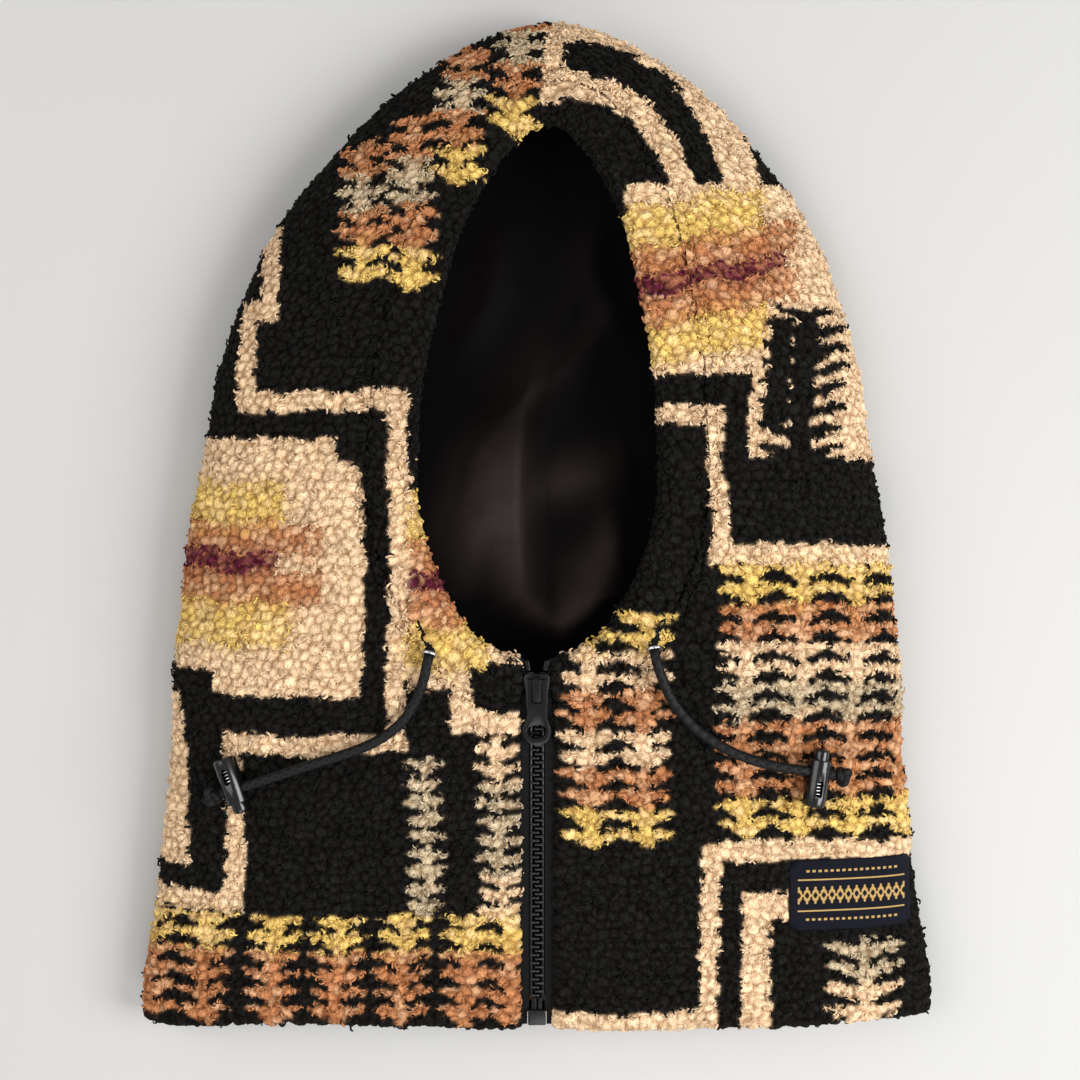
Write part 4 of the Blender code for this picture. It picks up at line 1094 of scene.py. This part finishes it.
def rim_frame():
    """Stations round the face channel: middle, direction across, and half width."""
    outer = EDGE + EDGE_OUT * CHANNEL_WIDTH
    start = 0.5 * ZIP_SLOT
    keep = (np.minimum(EDGE[:, 0], outer[:, 0]) > start) | (EDGE[:, 1] > OPENING_TOP - 30 * MM)
    near, far = EDGE[keep], outer[keep]
    ends = []
    for line, kept in ((EDGE, near), (outer, far)):
        first = [[start, np.interp(start, line[:40, 0], line[:40, 1])]]
        whole = np.vstack([first, kept])
        whole[-1, 0] = HALF_SEAM
        ends.append(np.column_stack([whole, top_height(whole[:, 0], whole[:, 1])]))
    a, b = ends
    middle = 0.5 * (a + b) - np.array([0, 0, 0.5 * CHANNEL_THICKNESS])
    half = 0.5 * np.linalg.norm(b - a, axis=1)
    across = (b - a) / (2 * half[:, None])
    return middle, across, half


def rim_ring(middle, across, half, turns, inset):
    """Points round the channel's skin: turn 0 is its outer edge, 90 degrees its top."""
    c, s = np.cos(turns), np.sin(turns)
    out = np.sign(c) * np.abs(c) ** 0.8 * (half - inset)
    rise = np.sign(s) * np.abs(s) ** 0.8 * (0.5 * CHANNEL_THICKNESS - inset)
    return middle + across * out[:, None] + np.array([0, 0, 1.0]) * rise[:, None]


def channel_grid(side, spacing, root):
    """What shell_grid gives, for the channel: stations along it, and turns round it."""
    middle, across, half = rim_frame()
    run = run_along(middle)
    stations = np.linspace(0, run[-1], round(run[-1] / spacing) + 1)

    def at(values):
        return np.stack([np.interp(stations, run, values[:, k]) for k in range(3)], 1)

    turns = np.radians(np.linspace(-16, 268, round(54 * MM / spacing)))
    # The channel closes to a rounded end at the zip.
    taper = (1 - np.clip(1 - stations / (3.2 * MM), 0, 0.99) ** 4) ** 0.25
    base, tip = [], []
    for m, w, wide, share in zip(at(middle), at(across), np.interp(stations, run, half), taper):
        base.append(m + (rim_ring(m, w, wide, turns, root) - m) * share)
        tip.append(m + (rim_ring(m, w, wide, turns, 0.0) - m) * max(share, 0.05))
    base, tip = np.array(base), np.array(tip)
    u, h = side * base[..., 0], base[..., 1].copy()
    seam = 1.5 * MM * np.exp(-((base[..., 0] / SEAM_WIDTH) ** 2)) * (h > OPENING_TOP - 20 * MM)
    base[..., 2] += CHANNEL_SWELL * swell(u, h) - seam
    base = placed(u, h, base[..., 2])
    tip = placed(side * tip[..., 0], tip[..., 1], tip[..., 2])
    normal = grid_normals(base)
    if (normal * (tip - base)).sum() < 0:
        normal = -normal
    s = 0.3 + turns[None] * 9 * MM + 0 * u
    t = np.repeat(stations[:, None], len(turns), 1)
    return base, normal, s, t, u, h, np.ones(u.shape, bool)


def tint_ground(mesh, u, h):
    """The backing's colour, in the shade under the pile."""
    set_tints(mesh, 0.30 * pile_colours()[pattern(u, h)])


def shell_ground(name, side, inset, thickness):
    """The knitted backing of one side, from the middle of the back to the front's edge."""
    columns = 112
    fine = np.linspace(-SIDE_END, SIDE_END, 900)
    points, us, hs, keeps = [], [], [], []
    for h in crown_rows(1.6 * MM, 62, LENGTH - inset - 0.5 * MM, 86):
        angle, _ = even_angles(fine, h, inset, columns)
        row = np.full(columns, h)
        x, z = skin(angle, row, inset)
        front = angle > 0
        distance = edge_distance(x, row)
        seam = SEAM_DEPTH * np.exp(-((x / SEAM_WIDTH) ** 2))
        z = z - np.where(front, groove(distance) - SWELL * swell(side * x, h) + seam, -seam)
        slot = front & (h < OPENING_BOTTOM - 0.5 * CHANNEL_WIDTH)
        x = np.where(slot, np.maximum(x, 0.5 * ZIP_SLOT + 2.4 * MM), np.maximum(x, 0.2 * MM))
        keeps.append(~front | (distance > CHANNEL_WIDTH - 1.6 * MM))
        points.append(placed(side * x, row, z))
        us.append(pattern_place(side, x, row, angle))
        hs.append(row)
    bm, used = grid(np.array(points), np.array(keeps))
    if side > 0:
        bmesh.ops.reverse_faces(bm, faces=bm.faces)
    obj = piece(name, bm, "pile")
    tint_ground(obj.data, np.concatenate(us)[used], np.concatenate(hs)[used])
    thickened(obj, thickness)
    return obj


# ---------------------------------------------------------------- operators


# Each light: its name, place, size, power and colour.
LIGHTS = (
    ("window", (1.0, -0.15, 0.95), 0.8, 18.0, (1.0, 0.99, 0.97)),
    ("room", (-1.0, 0.25, 1.2), 1.2, 12.0, (1.0, 0.96, 0.91)),
    ("lamp", (0.25, -1.25, 1.1), 1.0, 11.5, (1.0, 0.99, 0.98)),
)


class BALACLAVA_OT_stage(bpy.types.Operator):
    """Camera, lights and the pale surface under the hood"""

    bl_idname = "balaclava.stage"
    bl_label = "Stage"

    def execute(self, context):
        stage = context.scene.balaclava_stage
        camera = bpy.data.objects.new("camera", bpy.data.cameras.new("camera"))
        context.scene.collection.objects.link(camera)
        camera.data.lens = stage.lens
        camera.location = (1.3 * MM, -9.7 * MM, stage.height)
        context.scene.camera = camera
        bm = bmesh.new()
        bmesh.ops.create_grid(bm, x_segments=40, y_segments=40, size=3.0)
        floor = bpy.data.objects.new("floor", mesh_of("floor", bm))
        context.scene.collection.objects.link(floor)
        look, shader, place = start_material("painted_board", Roughness=0.72)
        link(
            shader,
            Base_Color=noise(place, 2.0).shades(stage.floor, 0.96, 1.03),
            Normal=bump(noise(place, 90.0, 4.0), 0.2 * MM, 0.15),
        )
        floor.data.materials.append(look)
        for name, spot, size, power, tint in LIGHTS:
            data = bpy.data.lights.new(name, "AREA")
            data.size = size
            data.energy = power
            data.color = tint
            lamp = bpy.data.objects.new(name, data)
            lamp.location = spot
            lamp.rotation_euler = (-Vector(spot)).to_track_quat("-Z", "Y").to_euler()
            context.scene.collection.objects.link(lamp)
        world = bpy.data.worlds.new("room")
        world.use_nodes = True
        sky = world.node_tree.nodes["Background"].inputs
        sky["Color"].default_value = (0.92, 0.95, 1.0, 1)
        sky["Strength"].default_value = 0.42
        context.scene.world = world
        context.scene.view_settings.view_transform = "Standard"
        return {"FINISHED"}


class BALACLAVA_OT_cords(bpy.types.Operator):
    """The drawcord's two free ends, their knots, and the run inside the channel"""

    bl_idname = "balaclava.cords"
    bl_label = "Drawcord"

    def execute(self, context):
        _, trim = settings()
        radius = 0.5 * trim.cord
        for name, _ in SIDES:
            line = even_points(smooth_curve(ROUTES[name], 10), 1.2 * MM)
            cord = piece(f"drawcord_{name}", swept(tube_rings(line, radius)), "cord")
            map_braid(cord.data, line)
            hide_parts(f"drawcord_end_{name}")
            knot = make_knot(name, line, radius)
        dress("drawcord_in_channel", "thread")
        for name, _ in SIDES:
            refined(f"eyelet_{name}", f"grommet_{name}", "metal", "hood", 0.25 * MM)
        return {"FINISHED"}


def map_braid(mesh, line):
    """A map round the cord, in turns, and along it, in metres."""
    line = np.array(line)
    co = places(mesh)
    near = np.array([((line - p) ** 2).sum(1).argmin() for p in co])
    offset = co - line[near]
    around = np.arctan2(offset[:, 2], offset[:, 0] - offset[:, 1]) / (2 * math.pi)
    loops = np.empty(len(mesh.loops), np.int32)
    mesh.loops.foreach_get("vertex_index", loops)
    values = np.stack([around, run_along(line)[near]], 1)[loops].astype(np.float32)
    mesh.uv_layers.new(name="braid").data.foreach_set("uv", values.ravel())


def make_knot(name, line, radius):
    """An overhand knot: the cord looped over itself and its short tail."""
    low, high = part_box(f"cord_knot_{name}")
    middle = 0.5 * (low + high)
    along = (Vector(line[-1]) - Vector(line[-8])).normalized()
    up = Vector((0, 0, 1))
    up = (up - along * up.dot(along)).normalized()
    across = up.cross(along)
    loops = []
    steps = 56
    for i in range(steps + 1):
        t = 2 * math.pi * i / steps
        x = (math.sin(t) + 2 * math.sin(2 * t)) * 0.85 * MM
        y = (math.cos(t) - 2 * math.cos(2 * t)) * 1.05 * MM
        z = -math.sin(3 * t) * 1.05 * MM
        loops.append(middle + along * x + across * y + up * z)
    knot = piece(f"knot_{name}", swept(tube_rings(loops, 0.72 * radius, 10)), "cord")
    map_braid(knot.data, loops)
    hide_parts(f"cord_knot_{name}")
    return knot


class BALACLAVA_OT_shell(bpy.types.Operator):
    """The curly pile shell: a knitted backing under rounded nubs and loose locks"""

    bl_idname = "balaclava.shell"
    bl_label = "Shell and pile"

    def execute(self, context):
        pile, _ = settings()
        rng = np.random.default_rng(7)
        for name, side in SIDES:
            ground = shell_ground(f"shell_ground_{name}", side, pile.root + 0.3 * MM, 2.0 * MM)
            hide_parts(f"shell_{name}")
            grown = []
            parts = (("front", False, pile.fine, 0.03), ("back", True, pile.coarse, 0.05))
            for part, back, spacing, share in parts:
                spots = shell_grid(side, back, spacing, pile.root)
                u, h, keep = spots[4:]
                pressed = 0.0 if back else sewn_down(u, h)
                skin_piece, surface, tone = pile_skin(f"pile_{part}_{name}", spots, 0.85 * pressed)
                if not back:
                    # More locks where the channel's seam draws the pile together.
                    distance = edge_distance(np.abs(u).ravel(), h.ravel()).reshape(u.shape)
                    share = np.where(distance < CHANNEL_WIDTH + 2.5 * MM, SEAM_SHARE, share)
                bare = (*spots[:6], keep & (pressed < 0.05))
                locks = fuzz(f"fuzz_{part}_{name}", bare, surface, tone, share, rng)
                grown += [skin_piece, locks]
        return {"FINISHED"}


class BALACLAVA_OT_channel(bpy.types.Operator):
    """The padded channel round the face opening"""

    bl_idname = "balaclava.channel"
    bl_label = "Face channel"

    def execute(self, context):
        pile, _ = settings()
        rng = np.random.default_rng(11)
        for name, side in SIDES:
            rings = []
            for middle, across, half in list(zip(*rim_frame()))[1:]:
                turns = np.linspace(0, 2 * math.pi, 21)[:-1]
                ring = rim_ring(middle, across, half, turns, pile.root)
                x, h = side * ring[:, 0], ring[:, 1]
                rings.append(placed(x, h, ring[:, 2] + CHANNEL_SWELL * swell(x, h)))
            ground = piece(f"channel_ground_{name}", swept(rings), "pile")
            co = places(ground.data)
            h = co[:, 1] - HEM_Y
            tint_ground(ground.data, co[:, 0] - lean(h), h)
            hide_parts(f"face_channel_{name}")
            spots = channel_grid(side, pile.fine, pile.root)
            roll, surface, tone = pile_skin(f"pile_channel_{name}", spots)
            locks = fuzz(f"fuzz_channel_{name}", spots, surface, tone, 0.035, rng)
        return {"FINISHED"}


class BALACLAVA_OT_lining(bpy.types.Operator):
    """The black velour lining, loose enough to lie in folds"""

    bl_idname = "balaclava.lining"
    bl_label = "Lining"

    def execute(self, context):
        lining = lining_sheet()
        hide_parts("lining_left", "lining_right")
        return {"FINISHED"}


# Folds of the lining over the back: points (x, h) in mm, height, and width on either side.
FOLDS = (
    (((12, 300), (0, 276), (-7, 253), (-8, 214), (-6, 190), (0, 176), (12, 166)), 15.0, 4.0, 12.0),
    (((34, 306), (10, 278), (-8, 262), (-27, 240), (-33, 222)), 9.0, 10.0, 5.0),
    (((-2, 222), (16, 228), (46, 236)), 7.5, 9.0, 11.0),
    (((-8, 176), (14, 167), (34, 192), (32, 218)), 8.0, 10.0, 5.5),
    (((-17, 232), (-27, 202), (-43, 176)), 7.0, 9.0, 13.0),
    (((-16, 350), (-22, 310), (-40, 280)), 5.0, 9.0, 8.0),
    (((26, 345), (22, 320), (40, 290)), 5.0, 8.0, 9.0),
    (((-70, 100), (-52, 150), (-30, 160)), 6.0, 10.0, 10.0),
    (((30, 90), (58, 130), (90, 150)), 6.0, 10.0, 10.0),
)


def fold_height(x, h):
    """Height of the lining's folds over the flat back."""
    total = np.zeros_like(x)
    for points, height, left, right in FOLDS:
        line = even_points(smooth_curve(points, 8) * MM, 0.8 * MM)
        gap = np.stack([x, h], 1)[:, None] - line[None]
        squared = (gap**2).sum(-1)
        near = squared.argmin(1)
        # Which side of the line each point lies on.
        along = np.gradient(line, axis=0)[near]
        mine = gap[np.arange(len(x)), near]
        turned = along[:, 0] * mine[:, 1] - along[:, 1] * mine[:, 0]
        width = np.where(turned > 0, left, right) * MM
        share = near / (len(line) - 1)
        profile = np.sin(math.pi * np.clip(share, 0.03, 0.97)) ** 0.8
        total += height * profile * np.exp(-np.sqrt(squared.min(1) / width**2 + 0.02) ** 1.6)
    return total * MM


def lining_side(side):
    """Rows of points of one half of the lining, from the middle of the back to the front."""
    columns = 112
    fine = np.linspace(-SIDE_END, SIDE_END, 900)
    points, keeps, fold_highlights = [], [], []
    for h in crown_rows(4.5 * MM, 90, LENGTH - LINING_DEPTH - 0.8 * MM, 120):
        angle, _ = even_angles(fine, h, LINING_DEPTH, columns)
        x, z = skin(angle, np.full(columns, h), LINING_DEPTH)
        front = angle > 0
        row = np.full(columns, h)
        distance = edge_distance(x, row)
        loose = np.clip((top_height(x, row, LINING_DEPTH + 3 * MM) - z) / (14 * MM), 0, 1)
        fold = fold_height(side * x, row) * loose
        z = z + np.where(front, -0.8 * MM, fold)
        # Painted highlight: slopes of the folds that face the light, and the folds' tops, are made
        # lighter; it fades out towards the top, where the lining is left darker.
        lit = fold_height(side * x + 0.6 * MM, row - 0.55 * MM) * loose - fold
        deep = np.clip((264 * MM - row) / (45 * MM), 0.15, 1)
        fold_highlights.append((np.clip(lit / MM, 0, 1) + 0.4 * np.clip(fold / (9 * MM), 0, 1) ** 2) * deep)
        slot = front & (h < OPENING_BOTTOM)
        x = np.where(slot, np.maximum(x, 0.5 * ZIP_SLOT + 0.5 * MM), np.where(x < 0.4 * MM, 0.0, x))
        keeps.append(~front | (distance > CHANNEL_WIDTH - 3 * MM))
        points.append(placed(side * x, row, z))
    return np.array(points), np.array(keeps), np.array(fold_highlights)


def lining_sheet():
    """The lining: both halves, sewn flat down the middle of the back."""
    left, right = lining_side(-1.0), lining_side(1.0)
    whole = [np.concatenate([a[:, :0:-1], b], axis=1) for a, b in zip(left, right)]
    bm, used = grid(whole[0], whole[1])
    bmesh.ops.reverse_faces(bm, faces=bm.faces)
    obj = piece("velour", bm, "velour")
    # The folds' painted highlight, smoothed, for the velour's colour.
    values = 1.5 * softened(whole[2], 4).reshape(-1)[used].astype(np.float32)
    obj.data.attributes.new("nap", "FLOAT", "POINT").data.foreach_set("value", values)
    thickened(obj, 0.9 * MM, 1.0)
    return obj


class BALACLAVA_OT_zip(bpy.types.Operator):
    """Tapes, moulded teeth, stops, pin, box, slider and pull"""

    bl_idname = "balaclava.zip"
    bl_label = "Zip"

    def execute(self, context):
        _, trim = settings()
        for name, side in SIDES:
            dress(f"zip_tape_{name}", "tape")
            teeth = make_teeth(name, side, trim.tooth_pitch)
            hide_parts(f"zip_teeth_{name}")
            refined(f"zip_top_stop_{name}", f"top_stop_{name}", "zip", "hood", 0.15 * MM)
        rounded = (
            ("zip_pin", "insertion_pin", "hood", 0.2),
            ("zip_box", "retainer_box", "hood", 0.2),
            ("zip_slider", "slider_body", "slider", 0.22),
            ("zip_pull", "slider_pull", "pull", 0.28),
        )
        for node, name, body, bevel in rounded:
            refined(node, name, "zip", body, bevel * MM)
        return {"FINISHED"}


def zip_frame():
    """The zip's own frame: X across, Y up the chain from the hem, Z out of the cloth."""
    turn = Matrix.Rotation(math.atan(FRONT_SLOPE), 4, "X")
    return Matrix.Translation((0, HEM_Y, HEM_HEIGHT - ZIP_DEPTH)) @ turn


# A tooth seen from above, in millimetres: its neck, and its rounded head towards the middle.
TOOTH = (
    (3.0, -0.72), (1.2, -0.62), (0.35, -0.42), (-0.25, -0.66), (-0.85, -0.55), (-1.1, -0.2),
    (-1.1, 0.2), (-0.85, 0.55), (-0.25, 0.66), (0.35, 0.42), (1.2, 0.62), (3.0, 0.72),
)


def make_teeth(name, side, pitch):
    """One row of moulded teeth: a rounded head on a narrow neck, clasped round the tape."""
    first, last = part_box(f"zip_teeth_{name}")
    low = first.y - HEM_Y
    count = int((last.y - first.y) / pitch - 0.25)
    phase = 0.25 if side < 0 else 0.75
    tooth = bmesh.new()
    face = tooth.faces.new([tooth.verts.new((x * MM, y * MM, -1.25 * MM)) for x, y in TOOTH])
    raised = bmesh.ops.extrude_face_region(tooth, geom=[face])["geom"]
    verts = [v for v in raised if isinstance(v, bmesh.types.BMVert)]
    bmesh.ops.translate(tooth, vec=(0, 0, 2.5 * MM), verts=verts)
    bmesh.ops.recalc_face_normals(tooth, faces=tooth.faces)
    rims = [e for e in tooth.edges if abs(e.verts[0].co.z - e.verts[1].co.z) < 1e-6]
    bevelled(tooth, rims, 0.28 * MM, clamp=False)
    if side < 0:
        bmesh.ops.scale(tooth, vec=(-1, 1, 1), verts=tooth.verts)
        bmesh.ops.reverse_faces(tooth, faces=tooth.faces)
    template = mesh_of("tooth", tooth)
    bm = bmesh.new()
    place = zip_frame()
    for i in range(count):
        before = set(bm.verts)
        bm.from_mesh(template)
        fresh = [v for v in bm.verts if v not in before]
        spot = Matrix.Translation((0, low + (i + phase) * pitch, 0))
        bmesh.ops.transform(bm, matrix=place @ spot, verts=fresh)
    bpy.data.meshes.remove(template)
    # The corded edge of the tape runs through every tooth.
    ends = (low - 0.2 * MM, low + (count + 0.5) * pitch)
    line = [place @ Vector((side * 2.45 * MM, y, 0)) for y in np.linspace(*ends, 60)]
    bead = mesh_of("bead", swept(tube_rings(line, 0.6 * MM, 8)))
    bm.from_mesh(bead)
    bpy.data.meshes.remove(bead)
    teeth = piece(f"teeth_{name}", bm, "zip")
    teeth.data.set_sharp_from_angle(angle=math.radians(40))
    return teeth


class BALACLAVA_OT_locks(bpy.types.Operator):
    """The barrel cord locks with their plungers and springs"""

    bl_idname = "balaclava.locks"
    bl_label = "Cord locks"

    def execute(self, context):
        for name, _ in SIDES:
            made = []
            for part, body, bevel in (("barrel", "lock", 0.16), ("plunger", "plunger", 0.1)):
                node, body = f"cord_lock_{part}_{name}", f"{body}_{name}"
                made.append(refined(node, f"{part}_{name}", "lock", body, bevel * MM))
            barrel, plunger = made
            make_spring(name, barrel, plunger)
        return {"FINISHED"}


def middle_of(obj):
    """The mean of a piece's vertices."""
    return sum((v.co for v in obj.data.vertices), Vector()) / len(obj.data.vertices)


def make_spring(name, barrel, plunger):
    """The coil spring between the barrel's floor and the plunger, taken off its body."""
    spring = refined(
        f"cord_lock_spring_{name}", f"spring_{name}", "metal", f"lock_{name}", 0.02 * MM
    )
    out = (middle_of(plunger) - middle_of(barrel)).normalized()
    centre = middle_of(spring)
    reach = [out.dot(v.co - centre) for v in spring.data.vertices]
    spring.parent = None  # the spring rides on no body
    centre + min(reach) * out
    centre + max(reach) * out
    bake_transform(spring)


class BALACLAVA_OT_label(bpy.types.Operator):
    """The woven label at the hem"""

    bl_idname = "balaclava.label"
    bl_label = "Woven label"

    def execute(self, context):
        middle = label_middle()
        width, height = LABEL_SIZE
        across, up = np.linspace(-0.5, 0.5, 55), np.linspace(-0.5, 0.5, 31)
        gx, gh = np.meshgrid(across * width, up * height)
        x, h = middle[0] + gx, middle[1] + gh
        z = top_height(x, h) - 0.6 * MM + SWELL * swell(x, h) + 0.35 * MM * swell(3 * x, 3 * h)
        # The corners are drawn down by the stitches.
        corner = np.maximum(np.abs(gx) / width - 0.44, 0) * np.maximum(np.abs(gh) / height - 0.4, 0)
        bm, _ = grid(placed(x, h, z - corner * 0.6))
        uv = bm.loops.layers.uv.new("label")
        for face in bm.faces:
            for loop in face.loops:
                spot = loop.vert.co
                loop[uv].uv = ((spot.x - middle[0]) / MM, (spot.y - HEM_Y - middle[1]) / MM)
        label = piece("label", bm, "label")
        thickened(label, 0.7 * MM)
        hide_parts("woven_label")
        return {"FINISHED"}


class BALACLAVA_PT_panel(bpy.types.Panel):
    """Lists the steps in the sidebar"""

    bl_idname = "BALACLAVA_PT_panel"
    bl_label = "Balaclava"
    bl_space_type = "VIEW_3D"
    bl_region_type = "UI"
    bl_category = "Balaclava"

    def draw(self, context):
        for group in (
            context.scene.balaclava_stage,
            context.scene.balaclava_pile,
            context.scene.balaclava_trim,
        ):
            box = self.layout.box()
            for key in group.__annotations__:
                box.prop(group, key)
        for step in STEPS:
            self.layout.operator(step.bl_idname)


STEPS = (
    BALACLAVA_OT_stage,
    BALACLAVA_OT_cords,
    BALACLAVA_OT_shell,
    BALACLAVA_OT_channel,
    BALACLAVA_OT_lining,
    BALACLAVA_OT_zip,
    BALACLAVA_OT_locks,
    BALACLAVA_OT_label,
)
CLASSES = (PileSettings, TrimSettings, StageSettings, *STEPS, BALACLAVA_PT_panel)


def register():
    for cls in CLASSES:
        bpy.utils.register_class(cls)
    bpy.types.Scene.balaclava_pile = PointerProperty(type=PileSettings)
    bpy.types.Scene.balaclava_trim = PointerProperty(type=TrimSettings)
    bpy.types.Scene.balaclava_stage = PointerProperty(type=StageSettings)


def unregister():
    del bpy.types.Scene.balaclava_pile
    del bpy.types.Scene.balaclava_trim
    del bpy.types.Scene.balaclava_stage
    for cls in reversed(CLASSES):
        bpy.utils.unregister_class(cls)


def main():
    register()
    bpy.ops.balaclava.stage()
    bpy.ops.balaclava.cords()
    bpy.ops.balaclava.shell()
    bpy.ops.balaclava.channel()
    bpy.ops.balaclava.lining()
    bpy.ops.balaclava.zip()
    bpy.ops.balaclava.locks()
    bpy.ops.balaclava.label()


if __name__ == "__main__":
    main()
